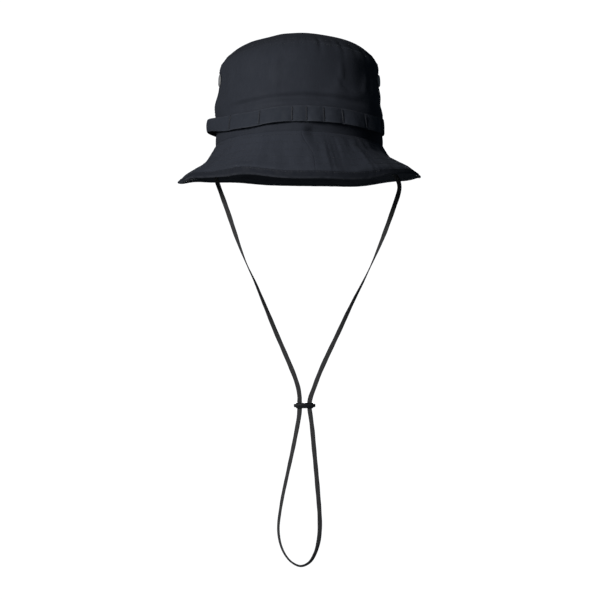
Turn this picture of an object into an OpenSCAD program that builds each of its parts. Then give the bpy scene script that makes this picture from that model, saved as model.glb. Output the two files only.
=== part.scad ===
// Bucket hat with a loop band and a chin cord, in millimetres.
// The origin is the centre of the head opening, level with the seam between crown and brim.
// +Z is up, the front faces -Y, and left and right are as seen from the front, so left is -X.
// An azimuth is an angle round the hat from the centre front, positive towards +X.

/* [Crown] */
// Half width of the crown at the brim seam, side to side
crown_half_w = 88.9; // [84:0.1:94]
// Half depth of the crown at the brim seam, front to back
crown_half_d = 98; // [92:0.5:104]
// Height of the crown's top above the brim seam
crown_h = 109; // [102:1:116]
// Mean height of the seam between the tip and the wall
tip_seam_h = 92; // [88:0.5:94]
// How much higher that seam runs at the front and back than its mean
tip_seam_rise = 4; // [0:0.5:6]
// Thickness of the crown cloth with its lining
crown_t = 1.2; // [0.8:0.1:1.4]
// How far the wall draws in between the band and the tip
crown_draw_in = 3.9; // [2:0.1:5]

/* [Brim] */
// How far the edge reaches out from the seam, on average
brim_reach = 37.8; // [34:0.2:44]
// Reach taken off at the front and added at the back
brim_reach_back = 10; // [4:0.5:12]
// How far the edge drops below the seam, on average
brim_drop = 37.6; // [32:0.2:40]
// Extra drop at the front, taken off at the back
brim_drop_front = 10.5; // [0:0.5:11]
// Extra drop on the left side, taken off on the right
brim_drop_left = 3.2; // [-4:0.2:4]
// Lift of the edge over the whole front
brim_lift_front = 3.2; // [0:0.2:5]
// More lift of the edge at the left of the front
brim_lift = 5.4; // [0:0.2:6]
// Droop of the edge at the right of the front
brim_droop = 2.7; // [0:0.1:3]
// Lift of the edge at the left of the back
brim_lift_back = 4; // [0:0.5:5]
// Length of the steep turn next to the seam
brim_turn = 12; // [8:0.5:14]
// Thickness of each brim layer
brim_cloth_t = 0.8; // [0.6:0.1:0.9]

/* [Band] */
// Height of the band's lower edge above the brim seam
band_z = 12.8; // [10:0.2:16]
// How much lower the band runs at both sides of the front
band_dip = 3.9; // [0:0.1:5]
// Width of the band's webbing
band_w = 15.4; // [12:0.2:18]
// Thickness of the band's webbing
band_t = 1.3; // [1:0.1:1.6]
// How far the band stands off between two tacks
band_puff = 1.7; // [0.5:0.1:2.2]
// How far the slack loop stands off at the left side
side_loop_gap = 7.9; // [6:0.1:10]

/* [Vents] */
// Outside radius of a vent eyelet's flange
vent_r = 6.3; // [5.5:0.1:7]
// Radius of a vent eyelet's hole
vent_hole_r = 3.5; // [3:0.1:4]
// Height of the front pair of vents above the brim seam
vent_z = 66; // [60:0.5:70]
// How much lower the back pair sits
vent_step = 4; // [0:0.5:5]
// Azimuth between the side seam and a vent
vent_angle = 13; // [11:0.5:18]

/* [Chin cord] */
// Width of the flat lace
lace_w = 4.9; // [4.2:0.1:5.4]
// Thickness of the flat lace
lace_t = 1.6; // [1.2:0.1:1.8]
// Length of the cord lock, across both runs of lace
lock_w = 23; // [21:0.5:26]
// Height of the cord lock
lock_h = 6; // [5:0.5:7]
// Depth of the cord lock, front to back
lock_d = 7; // [6:0.5:9]

/* [Hidden] */

cloth = "#23262e";
webbing = "#2b2e36";
lining = "#17191f";
metal = "#8d9096";
plastic = "#15171c";

step = 7.5;           // azimuth between two rows of facets
seam_gap = 0.1;       // half the azimuth left open at a seam between two panels
gap = 0.15;           // clearance between layers of cloth
curve_fn = 48;

// Surface of the hat ------------------------------------------------------------------

function smooth(u) = let (v = min(1, max(0, u))) v * v * (3 - 2 * v);
function bump(a, centre, width) =
    let (off = (a - centre + 540) % 360 - 180) exp(-pow(off / width, 2));

// Point of the head oval at azimuth a, moved outward by r, at height z
function oval(a, r, z) =
    let (nx = sin(a) / crown_half_w, ny = -cos(a) / crown_half_d, m = norm([nx, ny]))
    [crown_half_w * sin(a) + r * nx / m, -crown_half_d * cos(a) + r * ny / m, z];

function seam_z(a) = 1.5 + 2 * cos(2 * a);
function tip_z(a) = tip_seam_h + tip_seam_rise * cos(2 * a);

// How far the wall has drawn in at height z: a taper above the band, then the shoulder
shoulder_z = 79;
function inset(z) =
    crown_draw_in * smooth((z - 35) / 32) + 0.09 * pow(max(0, z - shoulder_z), 1.6);

// Point on the crown's wall, moved outward by d
function wall(a, z, d) = oval(a, d - inset(z), z);

// Point on the domed tip: s is 1 at the seam and 0 at the centre
tip_power = 5;
function tip(a, s, d) =
    let (edge = wall(a, tip_z(a), d))
    [s * edge.x, s * edge.y, edge.z + (crown_h + d - edge.z) * (1 - pow(s, tip_power))];

// The brim's profile is a curve of three points from the seam to the edge
function edge_drop(a) =
    brim_drop + brim_drop_front * cos(a) + 2.45 * cos(2 * a) - brim_drop_left * sin(a)
    - brim_lift * bump(a, -28, 16) + brim_droop * bump(a, 27, 18)
    - brim_lift_front * smooth((82 - abs(a)) / 22) - 1.6 * bump(a, -66, 14)
    - brim_lift_back * bump(a, -134, 28) + 2.7 * bump(a, 150, 15)
    + 2.2 * bump(a, 166, 25) + 1.8 * bump(a, 113, 10);
function edge_reach(a) = brim_reach - brim_reach_back * cos(a) - 2.75 * cos(2 * a);
function brim_profile(a) = [
    [0, 0],
    brim_turn * [cos(75), -sin(75)],
    [edge_reach(a), -edge_drop(a)],
];
function bend(p, t) = pow(1 - t, 2) * p[0] + 2 * t * (1 - t) * p[1] + t * t * p[2];
function bend_way(p, t) = 2 * (1 - t) * (p[1] - p[0]) + 2 * t * (p[2] - p[1]);

// Point on the brim: t is 0 at the seam and 1 at the edge, and d is above the top face
function brim(a, t, d) =
    let (p = brim_profile(a), q = bend(p, t), w = bend_way(p, t), n = [-w.y, w.x] / norm(w))
    oval(a, q.x + d * n.x, seam_z(a) - gap + q.y + d * n.y);

// Solids from rows of points -----------------------------------------------------------

// Rows run round the hat, and each row's points go from its lower end to its upper end
function steps(from, to) =
    let (n = round((to - from) / step))
    [for (i = [0:n]) from + (to - from) * i / n];
function open_ends(angles, by) =
    let (last = len(angles) - 1)
    [for (i = [0:last]) angles[i] + (i == 0 ? by : i == last ? -by : 0)];
function full_ring() = [for (a = [-180:step:180 - step]) a];

// A closed sheet between an outer and an inner grid; closed joins its last row to its first
module sheet(outer, inner, closed = false) {
    n = len(outer);
    m = len(outer[0]);
    rows = closed ? n : n - 1;
    function at(side, i, j) = (side * n + i % n) * m + j;
    faces = concat(
        [for (i = [0:rows - 1], j = [0:m - 2]) each [
            [at(0, i, j), at(0, i, j + 1), at(0, i + 1, j + 1)],
            [at(0, i, j), at(0, i + 1, j + 1), at(0, i + 1, j)],
            [at(1, i, j), at(1, i + 1, j + 1), at(1, i, j + 1)],
            [at(1, i, j), at(1, i + 1, j), at(1, i + 1, j + 1)]]],
        [for (i = [0:rows - 1]) each [
            [at(0, i, 0), at(0, i + 1, 0), at(1, i + 1, 0)],
            [at(0, i, 0), at(1, i + 1, 0), at(1, i, 0)],
            [at(0, i, m - 1), at(1, i + 1, m - 1), at(0, i + 1, m - 1)],
            [at(0, i, m - 1), at(1, i, m - 1), at(1, i + 1, m - 1)]]],
        closed ? [] : [for (j = [0:m - 2]) each [
            [at(0, 0, j), at(1, 0, j), at(1, 0, j + 1)],
            [at(0, 0, j), at(1, 0, j + 1), at(0, 0, j + 1)],
            [at(0, n - 1, j), at(1, n - 1, j + 1), at(1, n - 1, j)],
            [at(0, n - 1, j), at(0, n - 1, j + 1), at(1, n - 1, j + 1)]]]);
    polyhedron([for (side = [outer, inner], row = side, p = row) p], faces);
}

// A closed sheet like a cap: its rows end in one point at the top of each side
module cap(outer, inner, outer_top, inner_top) {
    n = len(outer);
    m = len(outer[0]);
    tops = 2 * n * m;
    function at(side, i, j) = (side * n + i % n) * m + j;
    faces = concat(
        [for (i = [0:n - 1], j = [0:m - 2]) each [
            [at(0, i, j), at(0, i, j + 1), at(0, i + 1, j + 1)],
            [at(0, i, j), at(0, i + 1, j + 1), at(0, i + 1, j)],
            [at(1, i, j), at(1, i + 1, j + 1), at(1, i, j + 1)],
            [at(1, i, j), at(1, i + 1, j), at(1, i + 1, j + 1)]]],
        [for (i = [0:n - 1]) each [
            [at(0, i, 0), at(0, i + 1, 0), at(1, i + 1, 0)],
            [at(0, i, 0), at(1, i + 1, 0), at(1, i, 0)],
            [at(0, i, m - 1), tops, at(0, i + 1, m - 1)],
            [at(1, i, m - 1), at(1, i + 1, m - 1), tops + 1]]]);
    points = [for (side = [outer, inner], row = side, p = row) p];
    polyhedron(concat(points, [outer_top, inner_top]), faces);
}

// Crown --------------------------------------------------------------------------------

wall_rows = [0, 0.18, 0.36, 0.5, 0.62, 0.74, 0.84, 0.92, 1];

module wall_panel(from, to) {
    angles = open_ends(steps(from, to), seam_gap);
    function height(a, u) = seam_z(a) + gap + (tip_z(a) - seam_z(a) - 2 * gap) * u;
    sheet([for (a = angles) [for (u = wall_rows) wall(a, height(a, u), 0)]],
          [for (a = angles) [for (u = wall_rows) wall(a, height(a, u), -crown_t)]]);
}

module crown_panel(middle) {
    vent_hole_clear = 4.6;
    difference() {
        wall_panel(middle - 90, middle + 90);
        for (side = [-1, 1])
            at_vent(side, middle == 0)
                translate([0, 0, -6])
                    cylinder(r = vent_hole_clear, h = 12, $fn = curve_fn);
    }
}

module crown_front_panel() { color(cloth) crown_panel(0); }
module crown_back_panel() { color(cloth) crown_panel(180); }

module crown_tip() {
    spread = [1, 0.97, 0.92, 0.85, 0.74, 0.58, 0.34];
    up = [0, 0, gap];
    color(cloth)
        cap([for (a = full_ring()) [for (s = spread) tip(a, s, 0) + up]],
            [for (a = full_ring()) [for (s = spread) tip(a, s, -crown_t) + up]],
            tip(0, 0, 0) + up, tip(0, 0, -crown_t) + up);
}

// Tape over the tip seam, inside
module tip_seam_binding() {
    tape_out = crown_t + 0.45;
    tape_t = 0.7;
    ends = [6, 1.6];
    color(lining)
        sheet([for (a = full_ring()) [for (e = ends) wall(a, tip_z(a) - e, -tape_out)]],
              [for (a = full_ring()) [for (e = ends) wall(a, tip_z(a) - e, -tape_out - tape_t)]],
              closed = true);
}

// Tape over a side seam, inside, from the sweatband to the tip's tape
module side_seam_tape(middle) {
    tape_out = crown_t + 0.45;
    tape_t = 0.7;
    heights = [35, 42, 52, 62, 72, 80];
    angles = [middle - 3.5, middle, middle + 3.5];
    color(lining)
        sheet([for (a = angles) [for (z = heights) wall(a, z, -tape_out)]],
              [for (a = angles) [for (z = heights) wall(a, z, -tape_out - tape_t)]]);
}

module side_seam_tape_left() { side_seam_tape(-90); }
module side_seam_tape_right() { side_seam_tape(90); }

module sweatband() {
    band_in = crown_t + 0.6;
    heights = [0.8, 16, 31];
    sweat_t = 1;
    function height(a, h) = seam_z(a) * (1 - h / 31) + h;
    color(lining)
        sheet([for (a = full_ring()) [for (h = heights) wall(a, height(a, h), -band_in)]],
              [for (a = full_ring()) [for (h = heights) wall(a, height(a, h), -band_in - sweat_t)]],
              closed = true);
}

// Brim ---------------------------------------------------------------------------------

layer = brim_cloth_t + gap;
brim_rows = [0.96, 0.84, 0.72, 0.6, 0.48, 0.36, 0.24, 0.12, 0];
stiffener_rows = [0.94, 0.84, 0.72, 0.6, 0.48, 0.36, 0.24, 0.12, 0.04];

// One layer of the brim: depth is how far its top face lies under the brim's top face
module brim_layer(angles, rows, depth, closed = false) {
    sheet([for (a = angles) [for (t = rows) brim(a, t, -depth)]],
          [for (a = angles) [for (t = rows) brim(a, t, -depth - brim_cloth_t)]],
          closed = closed);
}

module brim_half(from, depth) {
    brim_layer(open_ends(steps(from, from + 180), seam_gap), brim_rows, depth);
}

module brim_upper_left() { color(cloth) brim_half(-180, 0); }
module brim_upper_right() { color(cloth) brim_half(0, 0); }
module brim_under_left() { color(lining) brim_half(-180, 2 * layer); }
module brim_under_right() { color(lining) brim_half(0, 2 * layer); }
module brim_stiffener() {
    color("dimgray") brim_layer(full_ring(), stiffener_rows, layer, closed = true);
}

// Binding that closes the brim's edge, a little thicker than the layers
module brim_edge_binding() {
    proud = 0.2;
    rows = [1, 0.966];
    color(webbing)
        sheet([for (a = full_ring()) [for (t = rows) brim(a, t, proud)]],
              [for (a = full_ring()) [for (t = rows) brim(a, t, -3 * layer - proud)]],
              closed = true);
}

// Band ---------------------------------------------------------------------------------

// Azimuths of the tacks that hold the band down; the slack loop lies between last and first
tacks = [-51, -26, -4.5, 4.5, 15.5, 28.5, 48, 72, 96, 119, 141, 163, 185, 207, 236];
band_off = 0.35;
parts_per_loop = 4;

// Height of the band's lower edge: it dips at both sides of the front
function band_low(a) =
    band_z - band_dip * (bump(a, -55, 20) + 0.67 * bump(a, -31, 13) + 0.97 * bump(a, 57, 25));

function between(i) = [for (k = [0:parts_per_loop - 1]) [i, k / parts_per_loop]];
function band_angle(q) = tacks[q[0]] + q[1] * (tacks[q[0] + 1] - tacks[q[0]]);
function band_stand(q) =
    band_off + band_puff * min(1, (tacks[q[0] + 1] - tacks[q[0]]) / 20) * pow(sin(180 * q[1]), 2);

module webbing_run(angles, stands) {
    last = len(angles) - 1;
    function edge(i, up, d) = wall(angles[i], band_low(angles[i]) + up, d);
    color(webbing)
        sheet([for (i = [0:last]) [for (up = [0, band_w]) edge(i, up, stands[i] + band_t)]],
              [for (i = [0:last]) [for (up = [0, band_w]) edge(i, up, stands[i])]]);
}

module loop_band() {
    final = len(tacks) - 2;
    spots = concat([for (i = [0:final]) each between(i)], [[final, 1]]);
    webbing_run(open_ends([for (q = spots) band_angle(q)], 2 * seam_gap),
                [for (q = spots) band_stand(q)]);
}

// The slack stretch at the left side, flat at its two ends
module band_side_loop() {
    flat_end = 1.4;
    first = tacks[len(tacks) - 1] - 360;
    rise = tacks[0] - first - 2 * flat_end;
    parts = 18;
    arch = [for (k = [0:parts]) k / parts];
    angles = concat([first], [for (u = arch) first + flat_end + rise * u], [tacks[0]]);
    stands = [for (u = arch) band_off + side_loop_gap * pow(max(0, sin(180 * u)), 0.8)];
    webbing_run(open_ends(angles, 2 * seam_gap), concat([band_off], stands, [band_off]));
}

module band_bartacks() {
    half = 0.6;
    under = band_off + band_t + gap;
    tack_t = 0.7;
    ends = [0.8, band_w - 0.8];
    function row(a, d, t) = [for (up = ends) wall(a, band_low(t) + up, d)];
    color(cloth)
        for (t = tacks)
            sheet([for (a = [t - half, t + half]) row(a, under + tack_t, t)],
                  [for (a = [t - half, t + half]) row(a, under, t)]);
}

// Vents --------------------------------------------------------------------------------

vent_off = 0.45;

// Puts its children at a vent, with +Z straight out of the crown
module at_vent(side, front) {
    a = side * (front ? 90 - vent_angle : 90 + vent_angle);
    z = front ? vent_z : vent_z - vent_step;
    span = 3;
    lean = atan((inset(z + span) - inset(z - span)) / (2 * span));
    out = oval(a, 1, 0) - oval(a, 0, 0);
    translate(wall(a, z, 0))
        rotate([0, 90 - lean, atan2(out.y, out.x)])
            children();
}

module vent_eyelet() {
    barrel_r = 4.2;
    barrel_end = -3.1;
    translate([0, 0, vent_off])
        rotate_extrude($fn = curve_fn)
            polygon([[vent_hole_r, barrel_end], [barrel_r, barrel_end], [barrel_r, 0],
                     [vent_r, 0], [vent_r, 0.45], [vent_r - 0.9, 1],
                     [vent_hole_r + 0.7, 1], [vent_hole_r, 0.4]]);
}

module vent_washer() {
    washer_in = 2.3;
    washer_t = 0.8;
    translate([0, 0, vent_off - washer_in - washer_t])
        difference() {
            cylinder(r = 6.8, h = washer_t, $fn = curve_fn);
            translate([0, 0, -1]) cylinder(r = 4.3, h = washer_t + 2, $fn = curve_fn);
        }
}

module vent_eyelets_left() {
    color(metal) for (front = [true, false]) at_vent(-1, front) vent_eyelet();
}
module vent_eyelets_right() {
    color(metal) for (front = [true, false]) at_vent(1, front) vent_eyelet();
}
module vent_washers_left() {
    color(metal) for (front = [true, false]) at_vent(-1, front) vent_washer();
}
module vent_washers_right() {
    color(metal) for (front = [true, false]) at_vent(1, front) vent_washer();
}

// Chin cord ----------------------------------------------------------------------------

// The lace leaves its anchors on one level line, which is the line that it swings about
cord_exit_z = -15;
cord_exit_x = 91.5;

// Tab sewn into the brim seam that holds the end of the lace under the brim
module cord_anchor(middle) {
    under = 3 * layer + 0.45;
    tab_t = 1.1;
    angles = [for (a = [-3, -1.5, 0, 1.5, 3]) middle + a];
    rows = [0.36, 0.3, 0.24, 0.16, 0.08];
    color(webbing)
        sheet([for (a = angles) [for (t = rows) brim(a, t, -under)]],
              [for (a = angles) [for (t = rows) brim(a, t, -under - tab_t)]]);
}

module cord_anchor_left() { cord_anchor(-90); }
module cord_anchor_right() { cord_anchor(90); }

// The lace's routes, [x, z] at y = 0, chosen by hand
hole_left_x = 0.3;
hole_right_x = 11;
lock_z = -275.8;
left_route = [
    [-cord_exit_x, cord_exit_z], [-91.5, -20], [-90.1, -28.5], [-86.9, -39.5], [-81.7, -54],
    [-75.1, -72.5], [-68.6, -92], [-62.2, -110], [-55.3, -127], [-47.3, -144], [-39.8, -162],
    [-32.3, -180], [-24.7, -198.5], [-17.1, -216], [-9.6, -233.5], [-4.6, -246], [-1.2, -257],
    [0.2, -266], [hole_left_x, -271], [hole_left_x, lock_z],
];
right_route = [
    [cord_exit_x, cord_exit_z], [92.8, -19], [96.8, -24.5], [101.9, -30.5], [105.6, -37],
    [106.7, -44], [105.1, -52], [101.7, -62], [96.3, -77.5], [89.8, -95], [82.8, -112],
    [75.7, -128], [67.8, -144.5], [59.3, -161], [50.8, -178.5], [42.7, -196], [34.6, -213],
    [26.6, -230], [20.2, -245], [15.4, -258], [12.4, -266], [hole_right_x, -272],
    [hole_right_x, lock_z],
];
loop_route = [
    [hole_left_x, lock_z], [hole_left_x, -280], [-0.5, -289], [-3.6, -306], [-7.2, -324],
    [-10.7, -340], [-14.2, -356], [-17.8, -373], [-20.5, -389], [-22.2, -403], [-21.9, -414],
    [-19.6, -425], [-15, -435], [-8, -443], [1.5, -447], [10.8, -443], [16.8, -433.5],
    [20.3, -421.5], [21.8, -408], [21.6, -392], [20.3, -374], [18.8, -356], [17.2, -338],
    [15.5, -320], [13.9, -302], [12.3, -289], [hole_right_x, -280], [hole_right_x, lock_z],
];

// A smooth curve through the route's points: u counts points from the first
function route_at(route, u) =
    let (last = len(route) - 1, i = min(floor(u), last - 1), f = u - i,
         p0 = route[max(0, i - 1)], p1 = route[i], p2 = route[i + 1],
         p3 = route[min(last, i + 2)])
    0.5 * (2 * p1 + (p2 - p0) * f + (2 * p0 - 5 * p1 + 4 * p2 - p3) * f * f
           + (3 * p1 - p0 - 3 * p2 + p3) * f * f * f);

// Flat lace swept along a route, eight sides round, with its wide face to the front
module lace(route, rings) {
    sides = 8;
    last = len(route) - 1;
    function ring(k) =
        let (u = last * k / (rings - 1),
             way = route_at(route, min(last, u + 0.02)) - route_at(route, max(0, u - 0.02)),
             end = k == 0 || k == rings - 1,
             along = end ? [0, sign(way.y)] : way / norm(way),
             across = [along.y, -along.x], c = route_at(route, u))
        [for (s = [0:sides - 1])
            let (w = lace_w / 2 * cos(360 * s / sides), t = lace_t / 2 * sin(360 * s / sides))
            [c.x + w * across.x, t, c.y + w * across.y]];
    points = [for (k = [0:rings - 1]) each ring(k)];
    function at(k, s) = k * sides + s % sides;
    faces = concat(
        [for (k = [0:rings - 2], s = [0:sides - 1]) each [
            [at(k, s), at(k + 1, s + 1), at(k, s + 1)],
            [at(k, s), at(k + 1, s), at(k + 1, s + 1)]]],
        [for (s = [1:sides - 2]) [at(0, 0), at(0, s), at(0, s + 1)]],
        [for (s = [1:sides - 2]) [at(rings - 1, 0), at(rings - 1, s + 1), at(rings - 1, s)]]);
    color(webbing) polyhedron(points, faces);
}

module chin_cord_left_leg() { lace(left_route, 23); }
module chin_cord_right_leg() { lace(right_route, 25); }
module chin_cord_loop() { lace(loop_route, 32); }

// Bar with rounded ends and a slot for each run of the lace
module cord_lock() {
    slot_w = lace_w + 1;
    slot_d = lace_t + 1;
    middle_x = (hole_left_x + hole_right_x) / 2;
    module stadium(w, h) {
        square([w - h, h], center = true);
        for (side = [-1, 1]) translate([side * (w - h) / 2, 0]) circle(d = h, $fn = curve_fn);
    }
    color(plastic)
        difference() {
            translate([middle_x, 0, lock_z])
                rotate([90, 0, 0])
                    linear_extrude(lock_d, center = true)
                        stadium(lock_w, lock_h);
            for (x = [hole_left_x, hole_right_x])
                translate([x, 0, lock_z])
                    linear_extrude(lock_h + 2, center = true)
                        stadium(slot_w, slot_d);
        }
}

crown_tip();
crown_front_panel();
crown_back_panel();
tip_seam_binding();
side_seam_tape_left();
side_seam_tape_right();
brim_upper_left();
brim_upper_right();
brim_stiffener();
brim_under_left();
brim_under_right();
brim_edge_binding();
sweatband();
loop_band();
band_side_loop();
band_bartacks();
vent_eyelets_left();
vent_eyelets_right();
vent_washers_left();
vent_washers_right();
cord_anchor_left();
cord_anchor_right();
chin_cord_left_leg();
chin_cord_right_leg();
chin_cord_loop();
cord_lock();
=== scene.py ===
import math

import bmesh
import bpy
import numpy as np
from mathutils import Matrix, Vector


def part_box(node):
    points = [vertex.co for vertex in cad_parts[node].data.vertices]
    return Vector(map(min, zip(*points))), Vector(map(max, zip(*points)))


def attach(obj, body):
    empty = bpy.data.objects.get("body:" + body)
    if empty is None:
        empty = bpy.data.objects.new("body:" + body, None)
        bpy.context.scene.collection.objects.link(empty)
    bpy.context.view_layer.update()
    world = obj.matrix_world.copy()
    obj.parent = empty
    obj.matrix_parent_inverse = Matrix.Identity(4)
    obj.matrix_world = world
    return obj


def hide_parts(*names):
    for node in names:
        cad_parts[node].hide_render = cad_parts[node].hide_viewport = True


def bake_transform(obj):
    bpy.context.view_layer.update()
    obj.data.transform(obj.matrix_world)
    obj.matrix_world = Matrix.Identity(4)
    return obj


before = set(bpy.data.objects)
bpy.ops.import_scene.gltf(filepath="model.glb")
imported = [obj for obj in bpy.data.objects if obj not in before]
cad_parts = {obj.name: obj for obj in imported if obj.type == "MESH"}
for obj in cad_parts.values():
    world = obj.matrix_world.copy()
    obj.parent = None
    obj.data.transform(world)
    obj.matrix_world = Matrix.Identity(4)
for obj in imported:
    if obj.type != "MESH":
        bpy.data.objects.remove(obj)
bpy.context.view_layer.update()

# The looks of a bucket hat with a loop band and a chin cord. Every shape below is in millimetres in
# the row frame and becomes metres when its mesh is made. An azimuth is an angle round the hat from
# the centre front, in degrees, positive towards +X. The formulas are those of the CAD source.

MM = 0.001


def high(name, axis):
    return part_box(name)[1][axis] / MM


HALF_W, HALF_D = 88.9, 98.0
GAP, CROWN_T, LAYER_T = 0.15, 1.2, 0.8
LAYER = LAYER_T + GAP
BRIM_W, TIP_R = 54, 80
# Share of the brim's width where its layers end inside the binding, and the binding's stitch row
BRIM_CUT, BINDING_ROW = 0.962, 0.928
SWEAT_H = 31
# Azimuth from the front and height of the vents ahead of and behind each side seam
VENT_AHEAD, VENT_BEHIND = (77, 66.0), (103, 62.0)
CROWN_H = high("crown_tip", 2) - GAP
BAND_W = 15.4
BAND_Z = high("loop_band", 2) - BAND_W
BAND_T, BAND_OFF, BAND_PUFF, LOOP_GAP = 1.3, 0.35, 1.7, 7.9
TACKS = [-51, -26, -4.5, 4.5, 15.5, 28.5, 48, 72, 96, 119, 141, 163, 185, 207, 236]
LOCK_LOW, LOCK_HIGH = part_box("cord_lock")
LOCK_X = (LOCK_LOW.x + LOCK_HIGH.x) / 2 / MM
LOCK_Z = (LOCK_LOW.z + LOCK_HIGH.z) / 2 / MM
RUN_X = (0.3, 11.0)


# Shape of the hat ---------------------------------------------------------------------------

def rad(a):
    return np.radians(a)


def smooth(u):
    v = np.clip(u, 0, 1)
    return v * v * (3 - 2 * v)


def hill(x, centre, width):
    """A bell of height 1 at the centre."""
    return np.exp(-((x - centre) / width) ** 2)


def wrap(a):
    """The same azimuth from -180 up to 180."""
    return (a + 180) % 360 - 180


def power_of(x, power):
    """A power that keeps the sign, which squares up a circle."""
    return np.sign(x) * np.abs(x) ** power


def bump(a, centre, width):
    return hill(wrap(a - centre), 0, width)


def past(x):
    return np.maximum(x, 0)


def ripple(a, v, seed, waves, twist):
    """Smooth noise round the hat, about -1 to 1. waves are whole numbers of waves in a turn."""
    r = np.random.default_rng(seed)
    total = 0.0
    for k in waves:
        lean = r.uniform(-1, 1) / twist
        total = total + r.uniform(0.6, 1) * np.sin(k * rad(a) + r.uniform(0, 6.28) + lean * v)
    return total / math.sqrt(len(waves))


def oval(a, r, z):
    a, r, z = np.broadcast_arrays(np.asarray(a, float), r, z)
    nx, ny = np.sin(rad(a)) / HALF_W, -np.cos(rad(a)) / HALF_D
    m = np.hypot(nx, ny)
    return np.stack([HALF_W * np.sin(rad(a)) + r * nx / m,
                     -HALF_D * np.cos(rad(a)) + r * ny / m, z + 0.0 * a], -1)


def seam_z(a):
    return 1.5 + 2 * np.cos(2 * rad(a))


def tip_z(a):
    return 92 + 4 * np.cos(2 * rad(a))


def inset(z):
    return 3.9 * smooth((z - 35) / 32) + 0.09 * past(z - 79) ** 1.6


# Puckers that the tip seam draws into the cloth: azimuth, depth and half width in degrees
PUCKERS = [(-61, 0.35, 2.0), (-39, 0.5, 2.2), (-21, 1.0, 2.4), (-10, 0.35, 1.8), (5, 0.4, 1.8),
           (11.5, -0.7, 1.6), (15.8, 2.4, 1.7), (26, 1.0, 2.2), (34, 1.9, 1.9), (45, 1.3, 2.2),
           (57, 0.9, 2.0),
           (73, 0.5, 2.2), (101, 0.6, 2.4), (128, 0.7, 2.2), (149, 0.5, 2.0), (170, 0.8, 2.4),
           (-172, 0.5, 2.0), (-151, 0.7, 2.4), (-127, 0.5, 2.0), (-98, 0.6, 2.4), (-79, 0.4, 2.0)]


def pucker(a, away):
    """Cloth drawn in beside the tip seam, where away is the distance from the seam."""
    fine = ripple(a, away, 3, range(31, 73, 3), 9)
    dips = sum(d * bump(a + (away - 4) * 0.12, c, w) for c, d, w in PUCKERS)
    near = np.exp(-past(away) / 6.5)
    line = hill(past(away), 0, 1.1)
    return (0.28 * fine - dips) * near * (1 - 0.75 * line) - 0.55 * line


def front(a):
    return smooth((76 - np.abs(wrap(a))) / 26)


def band_drop(a):
    """How much lower the band runs than at the centre front, on both sides of it."""
    return 3.9 * bump(a, -55, 20) + 2.6 * bump(a, -31, 13) + 3.8 * bump(a, 57, 25)


def tuck(a, z):
    """Right of the centre the cloth turns in under the band, down to the brim seam."""
    side = smooth((a - 1) / 9) * smooth((84 - a) / 22)
    return -5.0 * side * smooth((14 - band_drop(a) - z) / 9.5)


def crease_z(a):
    """Height of the crease that the front of the crown has above the band."""
    return 38.4 - 3.2 * ((a - 6) / 40) ** 2


def slant(a, z):
    """From the crease down to the middle of the band the front slopes outwards."""
    span = smooth((58 - np.abs(a + 1)) / 24)
    rise = smooth((z + band_drop(a) - 17) / 16)
    return -1.7 * span * rise * (1 - smooth((z - crease_z(a) + 1) / 6))


def roll_over(a):
    """The front of the crown rolls in towards the tip seam."""
    return -3.1 * smooth((84 - np.abs(wrap(a))) / 36)


def wall_relief(a, z):
    """How far the crown's cloth stands out of its plain shape."""
    away = tip_z(a) - z
    crease = crease_z(a)
    span = smooth((58 - np.abs(a + 1)) / 24)
    over = BAND_Z + BAND_W - band_drop(a)
    puff = smooth((z - over + 0.6) / 2.6) * (1 - smooth((z - over - 4) / 6))
    fold = span * (-1.7 * np.exp(-((z - crease + 1.0) / 3.0) ** 2)
                   + 0.6 * puff + 0.5 * np.exp(-((z - crease - 7) / 4.5) ** 2))
    fold = fold + slant(a, z)
    soft = 0.42 * ripple(a, z, 11, range(3, 11), 26) + 0.16 * ripple(a, z, 12, range(13, 27, 2), 14)
    open_cloth = smooth((z - 30) / 8) * smooth(away / 14)
    lower = z + band_drop(a)
    under = -(0.5 + 0.8 * front(a)) * hill(lower, 11.2, 3.4)
    left = 1.6 * bump(a, -92, 30) * hill(z, 42, 9)
    right = -bump(a, 90, 32) * (2.2 * hill(z, 42, 7) + 1.2 * hill(z, 70, 12))
    slump = -2.2 * bump(a, -56, 32) * np.exp(-past(away) / 9)
    seam = -0.25 * np.exp(-((z - seam_z(a)) / 1.1) ** 2)
    shape = left + right + slump + tuck(a, z) + roll_over(a) * np.exp(-past(away) / 5)
    slack = drape("wall", a, (z - seam_z(a)) / (tip_z(a) - seam_z(a)))
    return pucker(a, away) + fold + soft * open_cloth + under + seam + shape + slack


def wall(a, z, d):
    return oval(a, d - inset(z) + wall_relief(a, z), z)


def plain_wall(a, z, d):
    return oval(a, d - inset(z), z)


def sweat_z(a, h):
    """Height on the sweatband, from the seam at h = 0 to a level edge at the top."""
    return seam_z(a) * (1 - h / SWEAT_H) + h


def sweat_wall(a, z, d):
    """The plain wall with only the larger folds, which the sweatband follows."""
    return plain_wall(a, z, d + (tuck(a, z) + slant(a, z)))


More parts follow.
